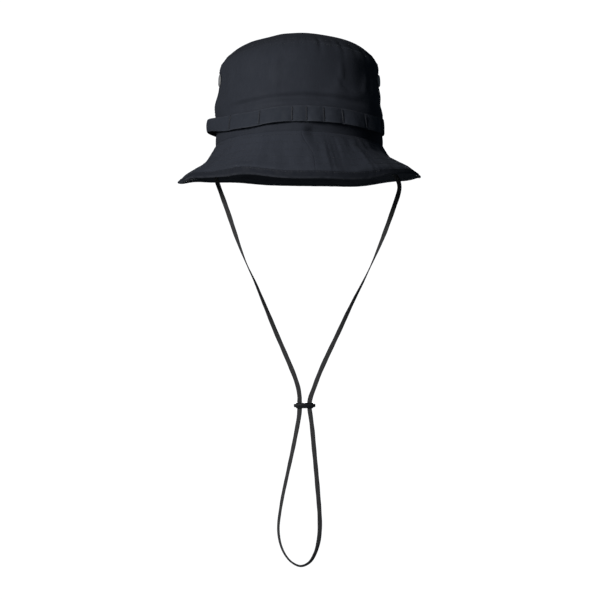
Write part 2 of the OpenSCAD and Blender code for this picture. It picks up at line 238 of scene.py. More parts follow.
def tip(a, s, d):
    """Point on the domed tip: s is 1 at the seam and 0 at the centre."""
    edge = plain_wall(a, tip_z(a), d)
    away = (1 - s) * TIP_R
    rise = (CROWN_H + d - edge[..., 2]) * (1 - s ** 5)
    soft = 0.5 * ripple(a, away, 21, range(2, 8), 20) * smooth(away / 12) * smooth(s * 2.2)
    slump = -2.2 * bump(a, -56, 32) * smooth((s - 0.78) / 0.15)
    at = wrap(a)
    crest = 2.3 * smooth((at + 36) / 20) * hill(past(at), 0, 30)
    crest = crest - 0.5 * bump(a, -42, 10) - 1.8 * bump(a, -66, 22) + 0.8 * bump(a, 66, 24)
    crest = crest * hill(s, 0.7, 0.22)
    lift = pucker(a, away) + soft + slump + crest + roll_over(a) * np.exp(-away / 14)
    out = np.stack([s * edge[..., 0], s * edge[..., 1], edge[..., 2] + rise + GAP], -1)
    slope = smooth((s - 0.55) / 0.45) * 0.75
    way = oval(a, 1, 0) - oval(a, 0, 0)
    out = out + way * (lift * slope)[..., None]
    out[..., 2] += lift * (1 - slope)
    return out


def brim_profile(a):
    drop = (37.6 + 10.5 * np.cos(rad(a)) + 2.45 * np.cos(2 * rad(a)) - 3.2 * np.sin(rad(a))
            - 5.4 * bump(a, -28, 16) + 2.7 * bump(a, 27, 18)
            - 5.2 * smooth((82 - np.abs(wrap(a))) / 22) - 1.6 * bump(a, -66, 14)
            - 4.0 * bump(a, -134, 28) + 2.7 * bump(a, 150, 15)
            + 2.2 * bump(a, 166, 25) + 1.8 * bump(a, 113, 10))
    reach = 37.8 - 10 * np.cos(rad(a)) - 2.75 * np.cos(2 * rad(a))
    turn = 12 * math.cos(math.radians(75)), -12 * math.sin(math.radians(75))
    return turn, (reach, -drop)


def brim_bend(a, t):
    (x1, z1), (x2, z2) = brim_profile(a)
    x, z = 2 * t * (1 - t) * x1 + t * t * x2, 2 * t * (1 - t) * z1 + t * t * z2
    wx, wz = 2 * (1 - t) * x1 + 2 * t * (x2 - x1), 2 * (1 - t) * z1 + 2 * t * (z2 - z1)
    m = np.hypot(wx, wz)
    return x, z, -wz / m, wx / m


ARC_T = np.linspace(0, 1, 61)
ARC_A = np.arange(-180, 181, 3.0)
_x, _z, _, _ = brim_bend(ARC_A[:, None], ARC_T[None, :])
ARC = np.concatenate([np.zeros((len(ARC_A), 1)),
                      np.cumsum(np.hypot(np.diff(_x, axis=1), np.diff(_z, axis=1)), axis=1)], 1)


def t_at(a, share):
    """The curve's t where that share of the brim's width is reached, at azimuth a."""
    a, share = np.broadcast_arrays(np.asarray(a, float), share)
    at = wrap(a)
    shares = ARC / ARC[:, -1:]
    table = np.stack([np.interp(np.linspace(0, 1, 121), row, ARC_T) for row in shares])
    i = np.clip(((at + 180) / 3).astype(int), 0, len(ARC_A) - 2)
    f = (at + 180) / 3 - i
    j = np.clip((share * 120).astype(int), 0, 119)
    g = share * 120 - j
    return ((1 - f) * ((1 - g) * table[i, j] + g * table[i, j + 1])
            + f * ((1 - g) * table[i + 1, j] + g * table[i + 1, j + 1]))


def front_seam(a, share):
    """The centre front seam of the brim leans to the right as it goes down."""
    return (1.6 + 6.5 * smooth(share / 0.6)) * np.exp(-(a / 28.0) ** 2)


# Rows of stitching on the brim, as shares of its width from the seam
BRIM_ROWS = [0.075, 0.24, 0.405, 0.57, 0.735, 0.885]


def brim_relief(a, share):
    """How far the brim's cloth stands up from its plain shape."""
    flutes = ripple(a, share, 31, (5, 7, 8, 11, 13), 0.8) * 0.75 * smooth(share / 0.6)
    gathers = ripple(a, 40 * share, 33, range(61, 130, 5), 22)
    patchy = 0.55 + 0.45 * ripple(a, 30 * share, 34, range(5, 17, 2), 12)
    grooves, between = 0.0, 1.0
    for row in BRIM_ROWS:
        off = (share - row) * BRIM_W
        grooves = grooves - 0.12 * hill(off, 0, 0.9)
        between = between * (1 - 0.7 * hill(off, 0, 1.3))
    strong = 0.13 + 0.26 * bump(a, 36, 16) + 0.14 * bump(a, -29, 11)
    fine = strong * patchy * gathers * between * smooth(share / 0.3)
    line = a - front_seam(a, share)
    centre = -0.1 * bump(line, 0, 0.7) * smooth((0.6 - share) / 0.5) - 0.05 * bump(line, 0, 0.5)
    back = -0.5 * bump(a, 180, 0.45) + 0.22 * bump(a, 178.9, 0.5) + 0.22 * bump(a, -178.9, 0.5)
    root = -0.25 * np.exp(-(share * BRIM_W / 1.1) ** 2)
    off_front = np.abs(wrap(a))
    curl = -0.075 * (past(share - 0.85) * BRIM_W) ** 2
    curl = curl * smooth((84 - off_front) / 24) * (1 - 0.6 * smooth((off_front - 35) / 15))
    knee = (bump(a, -90, 34) * (1.3 * hill(share, 0.78, 0.15) - 2.2 * hill(share, 0.36, 0.15))
            + bump(a, 90, 34) * (3.3 * hill(share, 0.76, 0.24) - 1.3 * hill(share, 0.28, 0.12)))
    valley = (-1.4 * bump(a, 21, 9) + 0.5 * bump(a, 40, 8)) * smooth(share / 0.2)
    held = smooth((1 - share) / 0.05)
    seams = (centre + back) * held * smooth(share / 0.03)
    shape = root + curl + knee + valley * smooth((1.05 - share) / 0.3)
    return flutes + (fine + grooves) * held + seams + shape + drape("brim", a, share)


def brim(a, share, d):
    a, share, d = np.broadcast_arrays(np.asarray(a, float), share, d)
    t = t_at(a, np.clip(share, 0, 1))
    x, z, nx, nz = brim_bend(a, t)
    (x1, z1), (x2, z2) = brim_profile(a)
    m = np.hypot(x2 - x1, z2 - z1)
    beyond = past(share - 1) * ARC[0, -1]
    x, z = x + beyond * (x2 - x1) / m, z + beyond * (z2 - z1) / m
    d = d * (1 - 0.42 * smooth((share - 0.8) / 0.18)) + brim_relief(a, np.minimum(share, 1))
    reach = 11 + 6 * smooth((a - 25) / 25)
    inward = tuck(a, seam_z(a)) * np.exp(-(share * BRIM_W / reach) ** 1.6)
    return oval(a, x + d * nx + inward, seam_z(a) - GAP + z + d * nz)


DRAPE = {}


def drape(part, a, v):
    """How far the simulated cloth has moved out, from a grid that runs round the hat and across
    the part, where v goes from 0 to 1."""
    if part not in DRAPE:
        return 0.0
    values = DRAPE[part]
    n, m = values.shape
    x = (np.asarray(a, float) % 360) / 360 * n
    y = np.clip(v, 0, 1) * (m - 1)
    x, y = np.broadcast_arrays(x, y)
    i, j = np.floor(x).astype(int), np.clip(np.floor(y).astype(int), 0, m - 2)
    f, g = x - np.floor(x), y - j
    total = 0.0
    for di, wi in zip((-1, 0, 1, 2), spline_weights(f)):
        for dj, wj in zip((-1, 0, 1, 2), spline_weights(g)):
            total = total + wi * wj * values[(i + di) % n, np.clip(j + dj, 0, m - 1)]
    return total


def spline_weights(f):
    """Weights of four neighbours, which keep a curve smooth."""
    return ((1 - f) ** 3 / 6, (3 * f ** 3 - 6 * f ** 2 + 4) / 6,
            (-3 * f ** 3 + 3 * f ** 2 + 3 * f + 1) / 6, f ** 3 / 6)


# Meshes -------------------------------------------------------------------------------------

def lengths(points, axis):
    """Distance along a grid of points, starting at 0, along one of its axes."""
    step = np.linalg.norm(np.diff(points, axis=axis), axis=-1)
    zero = np.zeros_like(np.take(step, [0], axis=axis))
    return np.concatenate([zero, np.cumsum(step, axis=axis)], axis=axis)


def make(name, points, faces, uvs=None, groups=None, wear=None):
    """A smooth-shaded mesh from points in millimetres. uvs has one pair for each face corner."""
    mesh = bpy.data.meshes.new(name)
    mesh.from_pydata((np.asarray(points, float) * MM).tolist(), [], [list(f) for f in faces])
    if uvs is not None:
        layer = mesh.uv_layers.new(name="cloth")
        layer.data.foreach_set("uv", np.asarray(uvs, np.float32).ravel())
    if groups is not None:
        mesh.polygons.foreach_set("material_index", np.asarray(groups, np.int32))
    if wear is not None:
        attribute = mesh.attributes.new("wear", "FLOAT", "POINT")
        attribute.data.foreach_set("value", np.asarray(wear, np.float32).ravel())
    mesh.shade_smooth()
    obj = bpy.data.objects.new(name, mesh)
    bpy.context.scene.collection.objects.link(obj)
    return obj


def quads(n, m, closed):
    rows = n if closed else n - 1
    i, j = (k.ravel() for k in np.meshgrid(np.arange(rows), np.arange(m - 1), indexing="ij"))
    return np.stack([i, i + 1, i + 1, i], 1), np.stack([j, j, j + 1, j + 1], 1)


def rounded(outer, inner, axis, first=True, last=True):
    """Both grids with one more row at the ends of an axis, drawn together like a turned edge."""
    out = []
    for g, h in ((outer, inner), (inner, outer)):
        rows = [g]
        for wanted, k, beside in ((first, 0, 1), (last, -1, -2)):
            if wanted:
                edge, other = (np.take(grid, [k], axis=axis) for grid in (g, h))
                way = edge - np.take(g, [beside], axis=axis)
                way = way / np.maximum(np.linalg.norm(way, axis=-1, keepdims=True), 1e-9)
                thick = np.linalg.norm(other - edge, axis=-1, keepdims=True)
                rows.insert(len(rows) * -k, edge * 0.74 + other * 0.26 + way * thick * 0.3)
        out.append(np.concatenate(rows, axis=axis))
    return out


def shell(name, outer, inner, closed=False, pole=False, flat_uv=False, wear=None):
    """A closed sheet between two grids of points. The inner side has material index 1."""
    outer, inner = rounded(outer, inner, 1, last=not pole)
    if not closed:
        outer, inner = rounded(outer, inner, 0)
    n, m = outer.shape[:2]
    i, j = quads(n, m, closed)
    full = np.concatenate([outer, outer[:1]]) if closed else outer
    table = full[:, :, :2] * MM
    if not flat_uv:
        v = lengths(full, 1)
        u = np.broadcast_to(lengths(full[:, m // 2], 0)[:, None], v.shape)
        table = np.stack([u, v], -1) * MM
    faces = [((i % n) * m + j), ((i % n) * m + j)[:, ::-1] + n * m]
    uvs = [table[i, j], table[i[:, ::-1], j[:, ::-1]]]

    def rim(a, b, a1, b1, order):
        """Faces over the thickness, between the points (a, b) and (a1, b1) of both grids."""
        corners = [((0, a, b), (1, a, b), (1, a1, b1), (0, a1, b1))[c] for c in order]
        faces.append(np.stack([side * n * m + (p % n) * m + q for side, p, q in corners], 1))
        uvs.append(np.stack([table[p, q] for _, p, q in corners], 1))

    k = np.arange(n if closed else n - 1)
    zero, last = 0 * k, 0 * k + m - 1
    rim(k, zero, k + 1, zero, (0, 1, 2, 3))
    if not pole:
        rim(k, last, k + 1, last, (0, 3, 2, 1))
    if not closed:
        k = np.arange(m - 1)
        zero, last = 0 * k, 0 * k + n - 1
        rim(zero, k, zero, k + 1, (0, 3, 2, 1))
        rim(last, k, last, k + 1, (0, 1, 2, 3))
    faces = np.concatenate(faces)
    groups = np.zeros(len(faces))
    groups[len(i):2 * len(i)] = 1
    points = np.concatenate([outer.reshape(-1, 3), inner.reshape(-1, 3)])
    if wear is not None:
        ends = (0, 0) if closed else (1, 1)
        wear = np.pad(wear, (ends, (1, 0 if pole else 1)), mode="edge").ravel()
        wear = np.concatenate([wear, wear])
    obj = make(name, points, faces.tolist(), np.concatenate(uvs), groups, wear)
    if pole:
        bm = bmesh.new()
        bm.from_mesh(obj.data)
        bmesh.ops.remove_doubles(bm, verts=bm.verts, dist=1e-7)
        bm.to_mesh(obj.data)
        bm.free()
    return obj


def loft(name, rings, closed=False, wear=None):
    """A skin over closed sections: rings is (count, points round, 3). Ends are capped."""
    n, k = rings.shape[:2]
    i, j = quads(n, k + 1, closed)
    faces = ((i % n) * k + j % k)[:, ::-1]
    full = np.concatenate([rings, rings[:1]]) if closed else rings
    along = lengths(full.mean(1), 0)
    loop = np.concatenate([rings[:1], rings[:1, :1]], 1)
    around = lengths(loop, 1)[0]
    table = np.stack(np.broadcast_arrays(along[:, None], around[None, :]), -1) * MM
    uvs = table[i[:, ::-1], j[:, ::-1]].reshape(-1, 2)
    faces = faces.tolist()
    if not closed:
        ends = [list(range(k)), [(n - 1) * k + q for q in range(k)][::-1]]
        faces += ends
        uvs = np.concatenate([uvs, table[0, :k], table[-1, :k][::-1]])
    return make(name, rings.reshape(-1, 3), faces, uvs, None, wear)


def stitches(name, runs, radius, mat, nodes=()):
    """Threads from start to end, each sinking into the cloth at both ends. A run is (starts, ends,
    normals), three arrays of points."""
    starts, ends, normals = (np.concatenate([np.asarray(r[k], float) for r in runs])
                             for k in range(3))
    along = ends - starts
    size = np.linalg.norm(along, axis=1, keepdims=True)
    side = np.cross(along / size, normals)
    side /= np.linalg.norm(side, axis=1, keepdims=True)
    stations = [(-1.0, 0.35, -1.1), (-0.82, 0.85, 0.1), (-0.35, 1.0, 0.62),
                (0.35, 1.0, 0.62), (0.82, 0.85, 0.1), (1.0, 0.35, -1.1)]
    angles = np.arange(6) * math.tau / 6
    rings = []
    for at, thick, rise in stations:
        centre = (starts + ends) / 2 + along * at / 2 + normals * rise * radius
        rings.append(np.stack([centre + radius * thick * (side * math.cos(q)
                                                          + normals * math.sin(q))
                               for q in angles], 1))
    points = np.stack(rings, 1)
    count, r, k = points.shape[:3]
    i, j = quads(r, k + 1, False)
    one = i * k + j % k
    caps = [[0, 5, 4, 3, 2, 1], [(r - 1) * k + q for q in range(k)]]
    faces = []
    for s in range(count):
        base = s * r * k
        faces += (one + base).tolist() + [[base + q for q in cap] for cap in caps]
    place(make(name, points.reshape(-1, 3), faces), "thread", nodes, mat)


def dashes(surface, line, other, pitch=3.0, length=2.15, turn=True):
    """Starts, ends and normals of a row of stitches. surface(p, q) gives points for the line's own
    parameter p; other is the second one, a number or an array as long as line."""
    points = surface(line, other)
    far = lengths(points, 0)
    count = max(1, int(far[-1] / pitch))
    spots = (np.arange(count) + 0.5) * far[-1] / count
    half = length / 2

    def at(s):
        p = np.interp(s, far, line)
        q = other if np.isscalar(other) else np.interp(s, far, other)
        return p, q

    (p0, q0), (p1, q1), (pm, qm) = at(spots - half), at(spots + half), at(spots)
    starts, ends = surface(p0, q0), surface(p1, q1)
    nudge = 0.02
    dp = surface(pm + nudge, qm) - surface(pm - nudge, qm)
    dq = surface(pm, qm + nudge) - surface(pm, qm - nudge)
    normals = np.cross(dp, dq)
    normals /= np.linalg.norm(normals, axis=1, keepdims=True)
    middle = surface(pm, qm)
    outward = (normals * (middle - np.array([0, 0, 40.0]))).sum(1, keepdims=True)
    normals = np.where(outward < 0, -normals, normals) if turn else normals
    return starts, ends, normals


# Materials ----------------------------------------------------------------------------------

class Paint:
    """One node material, built socket by socket."""

    def __init__(self, name):
        self.material = bpy.data.materials.new(name)
        self.material.use_nodes = True
        self.tree = self.material.node_tree
        self.tree.nodes.clear()

    def add(self, kind, inputs=None, **settings):
        made = self.tree.nodes.new("ShaderNode" + kind)
        for key, value in settings.items():
            setattr(made, key, value)
        for key, value in (inputs or {}).items():
            if isinstance(value, bpy.types.NodeSocket):
                self.tree.links.new(value, made.inputs[key])
            else:
                made.inputs[key].default_value = value
        return made

    def math(self, operation, a, b=0.0, c=0.0):
        return self.add("Math", {0: a, 1: b, 2: c}, operation=operation).outputs[0]

    def span(self, value, low_to, high_to, low_from=0.0, high_from=1.0):
        return self.add("MapRange", {"Value": value, "From Min": low_from, "From Max": high_from,
                                     "To Min": low_to, "To Max": high_to}).outputs[0]

    def mix(self, share, a, b, mode="MIX"):
        made = self.add("Mix", {0: share, 6: a, 7: b}, data_type="RGBA", blend_type=mode)
        return made.outputs[2]

    def noise(self, at, scale, detail=3.0, rough=0.55):
        return self.add("TexNoise", {"Vector": at, "Scale": scale, "Detail": detail,
                                     "Roughness": rough}).outputs["Fac"]

    def cloth_axes(self):
        """Distances along and across the cloth, in millimetres."""
        uv = self.add("UVMap", uv_map="cloth").outputs["UV"]
        parts = self.add("SeparateXYZ", {0: uv})
        return (self.math("MULTIPLY", parts.outputs[0], 1000.0),
                self.math("MULTIPLY", parts.outputs[1], 1000.0), uv)

    def place(self):
        return self.add("TexCoord").outputs["Object"]

    def ridges(self, at, pitch):
        """Rounded ridges across one direction."""
        wave = self.math("SINE", self.math("MULTIPLY", at, math.pi / pitch))
        return self.math("ABSOLUTE", wave)

    def streaks(self, at, stretch, detail=3.0, rough=0.55, scale=1.0):
        """Noise drawn out along some of its axes."""
        drawn = self.add("Mapping", {"Vector": at, "Scale": stretch}).outputs[0]
        return self.noise(drawn, scale, detail, rough)

    def tint(self, colour, by, rgb, most, low=0.4, high=0.7):
        """The colour, drawn towards rgb where a value rises from low to high."""
        return self.mix(self.span(by, 0.0, most, low, high), colour, rgb)

    def shaded(self, height, rgb, most, deep, **span):
        """Painted shade: a colour that goes darker in the low parts of the relief, where shade
        would fall in its hollows.
        """
        return self.mix(self.span(height, most, 0.0, **span), shade(rgb), shade(rgb, deep))

    def worn(self, colour, rgb, most, by=None):
        """The colour, paler where the piece is worn."""
        wear = self.add("Attribute", attribute_name="wear").outputs["Fac"]
        if by is not None:
            wear = self.math("MULTIPLY", wear, by)
        return self.mix(self.math("MULTIPLY", wear, most), colour, shade(rgb))

    def surface(self, kind, values):
        made = self.add(kind, values)
        out = self.add("OutputMaterial")
        self.tree.links.new(made.outputs[0], out.inputs[0])
        return self.material

    def finish(self, colour, rough, height, depth, specular=0.5, sheen=0.0, nap=0.5,
               glow=(0.55, 0.6, 0.72, 1.0), **shader):
        """depth is how tall the relief is, in millimetres; nap is the sheen's roughness."""
        bumped = self.add("Bump", {"Height": height, "Strength": 1.0, "Distance": depth * MM})
        return self.surface("BsdfPrincipled", {
            "Base Color": colour, "Roughness": rough, "Normal": bumped.outputs[0],
            "Specular IOR Level": specular, "Sheen Weight": sheen, "Sheen Roughness": nap,
            "Sheen Tint": glow, **shader})


def shade(rgb, k=1.0):
    return (rgb[0] * k, rgb[1] * k, rgb[2] * k, 1.0)


NAVY = (0.0266, 0.0304, 0.0408)
WEBBING = (0.0272, 0.0322, 0.0442)
LINING = (0.0150, 0.0165, 0.0215)


def weave_height(p, u, v, yarn):
    """Twill: yarns along both axes that cross in a diagonal."""
    warp, weft = p.ridges(u, yarn), p.ridges(v, yarn)
    over = p.math("SINE", p.math("MULTIPLY", p.math("ADD", u, v), math.tau / (3 * yarn)))
    share = p.span(over, 0.0, 1.0, -0.35, 0.35)
    return p.math("ADD", p.math("MULTIPLY", warp, share),
                  p.math("MULTIPLY", weft, p.math("SUBTRACT", 1.0, share)))


def woven(name, rgb, yarn=0.62, depth=0.05, sheen=0.04):
    p = Paint(name)
    u, v, uv = p.cloth_axes()
    at = p.place()
    height = weave_height(p, u, v, yarn)
    slub = p.streaks(uv, (900.0, 90.0, 1.0), 2.0)
    blotch = p.noise(at, 38.0, 4.0)
    creases = p.streaks(at, (1.0, 1.0, 0.45), 5.0, 0.6, 120.0)
    colour = p.shaded(height, rgb, 0.42, 0.45)
    colour = p.tint(colour, slub, shade(rgb, 1.35), 0.35, 0.35, 0.75)
    colour = p.tint(colour, blotch, shade(rgb, 0.72), 0.3)
    colour = p.tint(colour, p.noise(at, 9.0, 2.0), shade(rgb, 1.22), 0.22, 0.4, 0.65)
    rubbed = p.span(p.noise(at, 210.0, 3.0), 0.25, 1.0, 0.35, 0.65)
    colour = p.worn(colour, (0.11, 0.115, 0.13), 0.12, rubbed)
    rough = p.span(blotch, 0.78, 0.97, 0.3, 0.7)
    relief = p.math("ADD", height, p.math("MULTIPLY", creases, 3.2))
    relief = p.math("ADD", relief, p.math("MULTIPLY", slub, 0.7))
    return p.finish(colour, rough, relief, depth, 0.22, sheen, 0.45)


def ribbed(name, rgb, rib=1.05, depth=0.13):
    """Webbing with ribs over its width and a firm edge."""
    p = Paint(name)
    u, v, _ = p.cloth_axes()
    at = p.place()
    ribs = p.ridges(u, rib)
    thread = p.math("SINE", p.math("MULTIPLY", v, math.tau / 0.5))
    wobble = p.noise(at, 170.0, 4.0)
    height = p.math("ADD", ribs, p.math("MULTIPLY", thread, 0.16))
    height = p.math("ADD", height, p.math("MULTIPLY", wobble, 1.3))
    colour = p.shaded(ribs, rgb, 0.5, 0.45)
    colour = p.tint(colour, p.noise(at, 45.0, 3.0), shade(rgb, 0.75), 0.25)
    rubbed = p.span(wobble, 0.2, 1.0, 0.35, 0.65)
    colour = p.worn(colour, (0.12, 0.125, 0.14), 0.2, rubbed)
    rough = p.span(wobble, 0.7, 0.92, 0.3, 0.7)
    return p.finish(colour, rough, height, depth, 0.28, 0.05, 0.4)


def braided(name, rgb):
    """Flat lace: a herringbone of fine yarns along its length."""
    p = Paint(name)
    u, v, _ = p.cloth_axes()
    at = p.place()
    middle = p.math("ABSOLUTE", p.math("SUBTRACT", p.math("PINGPONG", v, 2.1), 1.05))
    slanted = p.math("ADD", p.math("MULTIPLY", u, 1.0), p.math("MULTIPLY", middle, 0.9))
    yarns, lanes = p.ridges(slanted, 0.75), p.ridges(v, 1.05)
    fuzz = p.noise(at, 900.0, 3.0)
    height = p.math("ADD", p.math("MULTIPLY", yarns, p.math("ADD", lanes, 0.35)),
                    p.math("MULTIPLY", fuzz, 0.4))
    colour = p.shaded(height, rgb, 0.6, 0.35, low_from=0.1, high_from=1.1)
    colour = p.tint(colour, p.noise(at, 60.0, 3.0), shade(rgb, 0.65), 0.35)
    colour = p.tint(colour, fuzz, shade((0.09, 0.095, 0.11)), 0.2, 0.5, 0.8)
    rough = p.span(fuzz, 0.7, 0.95, 0.3, 0.7)
    return p.finish(colour, rough, height, 0.09, 0.3, 0.06, 0.4)


def spun(name, rgb):
    """Sewing thread."""
    p = Paint(name)
    at = p.place()
    twist = p.add("TexWave", {"Vector": at, "Scale": 900.0, "Distortion": 3.0, "Detail": 2.0},
                  wave_type="BANDS", bands_direction="DIAGONAL").outputs["Fac"]
    tone = p.noise(at, 160.0, 3.0)
    colour = p.tint(p.shaded(twist, rgb, 0.5, 0.5), tone, shade(rgb, 0.6), 0.35)
    rough = p.span(tone, 0.5, 0.75, 0.3, 0.7)
    return p.finish(colour, rough, twist, 0.05, 0.4, 0.1, 0.3, (1.0, 1.0, 1.0, 1.0))


def felted(name, rgb):
    """Needled stuff with no yarns to see."""
    p = Paint(name)
    at = p.place()
    fibre = p.noise(at, 420.0, 6.0, 0.7)
    pills = p.add("TexVoronoi", {"Vector": at, "Scale": 546.0}).outputs["Distance"]
    colour = p.tint(shade(rgb), fibre, shade(rgb, 1.5), 0.6, 0.35)
    colour = p.tint(colour, p.noise(at, 40.0, 3.0), shade(rgb, 0.7), 0.3)
    rough = p.span(fibre, 0.85, 1.0, 0.3, 0.7)
    height = p.math("ADD", fibre, p.math("MULTIPLY", pills, 0.4))
    return p.finish(colour, rough, height, 0.12, 0.2, 0.25)


def wicking(name, rgb):
    """Knitted band stuff: short ribs with tiny holes."""
    p = Paint(name)
    u, _, uv = p.cloth_axes()
    flat = p.add("Mapping", {"Vector": uv, "Scale": (1.0, 0.75, 1.0)}).outputs[0]
    cells = p.add("TexVoronoi", {"Vector": flat, "Scale": 760.0}).outputs["Distance"]
    holes = p.span(cells, 0.0, 1.0, 0.15, 0.5)
    blotch = p.noise(p.place(), 50.0, 3.0)
    height = p.math("ADD", p.math("MULTIPLY", holes, 0.8),
                    p.math("MULTIPLY", p.ridges(u, 1.3), 0.5))
    colour = p.tint(p.shaded(holes, rgb, 0.75, 0.3), blotch, shade(rgb, 1.35), 0.3)
    rough = p.span(blotch, 0.8, 0.95, 0.3, 0.7)
    return p.finish(colour, rough, height, 0.16, 0.25, 0.2, 0.45)


def gunmetal(name, rgb, rub=0.5):
    """Plated brass, darkened, with its finish rubbed and finely scratched."""
    p = Paint(name)
    at = p.place()
    cloud = p.noise(at, 260.0, 4.0)
    scratch = p.streaks(at, (600.0, 600.0, 4200.0))
    pits = p.noise(at, 1500.0, 2.0)
    colour = p.tint(shade(rgb), cloud, shade(rgb, 0.55), 0.7, 0.38, 0.66)
    colour = p.tint(colour, scratch, shade((0.42, 0.43, 0.45)), rub, 0.55, 0.72)
    rough = p.math("ADD", p.span(cloud, 0.26, 0.5, 0.3, 0.7), p.span(scratch, 0.0, 0.1, 0.4, 0.8))
    height = p.math("ADD", scratch, p.math("MULTIPLY", pits, 0.5))
    return p.finish(colour, rough, height, 0.02, glow=(1.0, 1.0, 1.0, 1.0), Metallic=0.55)


def moulded(name, rgb):
    """Matt black plastic with a fine spark texture and handled edges."""
    p = Paint(name)
    at = p.place()
    grain = p.noise(at, 2600.0, 3.0, 0.6)
    cloud = p.noise(at, 190.0, 3.0)
    scuff = p.streaks(at, (900.0, 300.0, 2400.0))
    pale = (0.03, 0.031, 0.036)
    colour = p.tint(shade(rgb), cloud, shade(rgb, 0.7), 0.5)
    colour = p.tint(colour, scuff, shade(pale), 0.25, 0.6, 0.75)
    colour = p.worn(colour, pale, 0.25)
    rough = p.math("ADD", p.span(cloud, 0.3, 0.42, 0.3, 0.7), p.span(scuff, 0.0, 0.12, 0.4, 0.8))
    return p.finish(colour, rough, grain, 0.02, 0.4, glow=(1.0, 1.0, 1.0, 1.0))


def dress(obj, *materials):
    for m in materials:
        obj.data.materials.append(m)


def place(obj, slot, nodes=(), *materials, body="hat"):
    """Rides on a body, takes its materials, and stands for CAD nodes. The slot is not used."""
    dress(obj, *materials)
    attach(obj, body)
    if nodes:
        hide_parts(*nodes)


# Camera, floor and light --------------------------------------------------------------------

def aim(obj, target):
    obj.rotation_euler = (Vector(target) - obj.location).to_track_quat("-Z", "Y").to_euler()


def make_camera():
    data = bpy.data.cameras.new("camera")
    data.lens, data.sensor_width = 73.2, 36.0
    data.clip_start, data.clip_end = 0.05, 60.0
    camera = bpy.data.objects.new("camera", data)
    bpy.context.scene.collection.objects.link(camera)
    camera.location = (0.00075, -1.3, -0.1635)
    camera.rotation_euler = (math.radians(90), 0, 0)
    bpy.context.scene.camera = camera


def lamp(name, place_at, target, size, watts, tint=(1.0, 1.0, 1.0)):
    data = bpy.data.lights.new(name, "AREA")
    data.shape, data.size, data.energy, data.color = "DISK", size, watts, tint
    obj = bpy.data.objects.new(name, data)
    bpy.context.scene.collection.objects.link(obj)
    obj.location = place_at
    aim(obj, target)
    obj.visible_camera = False


def make_studio():
    """A pale floor that curves up all round, lit by itself so that it stays plain."""
    floor_z, flat_r, curve_r, wall_h = -1.4, 6, 3, 9
    q = np.arange(64) * math.tau / 64
    u = np.linspace(0, 1, 25)[:, None]
    turn = past(u - 0.5) * 2
    r = 2 * flat_r * np.minimum(u, 0.5) + curve_r * np.sin(turn * math.pi / 2)
    z = floor_z + wall_h * turn ** 2
    rings = np.stack(np.broadcast_arrays(r * np.cos(q), r * np.sin(q), z), -1)
    floor = loft("studio_floor", rings / MM)
    p = Paint("floor_paper")
    tone = p.noise(p.place(), 3.0, 3.0)
    dress(floor, p.surface("BsdfPrincipled", {
        "Base Color": p.mix(tone, (0.9, 0.9, 0.9, 1), (0.86, 0.86, 0.87, 1)),
        "Roughness": 0.9, "Emission Color": (1.0, 1.0, 1.0, 1.0), "Emission Strength": 1.0}))
    floor.visible_diffuse = floor.visible_glossy = floor.visible_shadow = False
    world = bpy.data.worlds.new("room")
    bpy.context.scene.world = world
    world.use_nodes = True
    back = world.node_tree.nodes["Background"]
    back.inputs[0].default_value = (0.62, 0.8, 1.0, 1.0)
    back.inputs[1].default_value = 0.05
    bpy.context.scene.view_settings.view_transform = "Standard"
    middle = (0.0, 0.0, 0.02)
    lamp("key", (-1.04, -1.605, 0.39), middle, 0.55, 33.0, (1.0, 0.99, 0.98))
    lamp("back", (0.12, 2.25, 0.28), middle, 0.9, 26.0, (0.97, 0.985, 1.0))
    lamp("low", (-0.5, -0.6, -1.25), middle, 1.0, 3.0, (0.95, 0.98, 1.0))


# Chin cord ----------------------------------------------------------------------------------

# The lace's routes, [x, z] in metres at y = 0: the points of the CAD source
LEFT_ROUTE = [
    (-.0915, -.015), (-.0915, -.02), (-.0901, -.0285), (-.0869, -.0395), (-.0817, -.054),
    (-.0751, -.0725), (-.0686, -.092), (-.0622, -.11), (-.0553, -.127), (-.0473, -.144),
    (-.0398, -.162), (-.0323, -.18), (-.0247, -.1985), (-.0171, -.216), (-.0096, -.2335),
    (-.0046, -.246), (-.0012, -.257), (.0002, -.266), (.0003, -.271), (.0003, -.2758)]
RIGHT_ROUTE = [
    (.0915, -.015), (.0928, -.019), (.0968, -.0245), (.1019, -.0305), (.1056, -.037),
    (.1067, -.044), (.1051, -.052), (.1017, -.062), (.0963, -.0775), (.0898, -.095),
    (.0828, -.112), (.0757, -.128), (.0678, -.1445), (.0593, -.161), (.0508, -.1785),
    (.0427, -.196), (.0346, -.213), (.0266, -.23), (.0202, -.245), (.0154, -.258),
    (.0124, -.266), (.011, -.272), (.011, -.2758)]
LOOP_ROUTE = [
    (.0003, -.2758), (.0003, -.28), (-.0005, -.289), (-.0036, -.306), (-.0072, -.324),
    (-.0107, -.34), (-.0142, -.356), (-.0178, -.373), (-.0205, -.389), (-.0222, -.403),
    (-.0219, -.414), (-.0196, -.425), (-.015, -.435), (-.008, -.443), (.0015, -.447),
    (.0108, -.443), (.0168, -.4335), (.0203, -.4215), (.0218, -.408), (.0216, -.392),
    (.0203, -.374), (.0188, -.356), (.0172, -.338), (.0155, -.32), (.0139, -.302),
    (.0123, -.289), (.011, -.28), (.011, -.2758)]
LACE_W, LACE_T = 4.9, 1.35
# Where the lace is turned about its own line: height or share of the run, and degrees
LEG_TWIST = [(-276, 180), (-215, 180), (-187, 153), (-153, 118), (-127, 90), (-110, 64),
             (-93, 37), (-82, 0), (-15, 0)]
LOOP_TWIST = [(0, 0), (0.06, 12), (0.12, 37), (0.25, 50), (0.38, 62), (0.47, 66), (0.54, 50),
              (0.62, 18), (0.75, 6), (1, 0)]


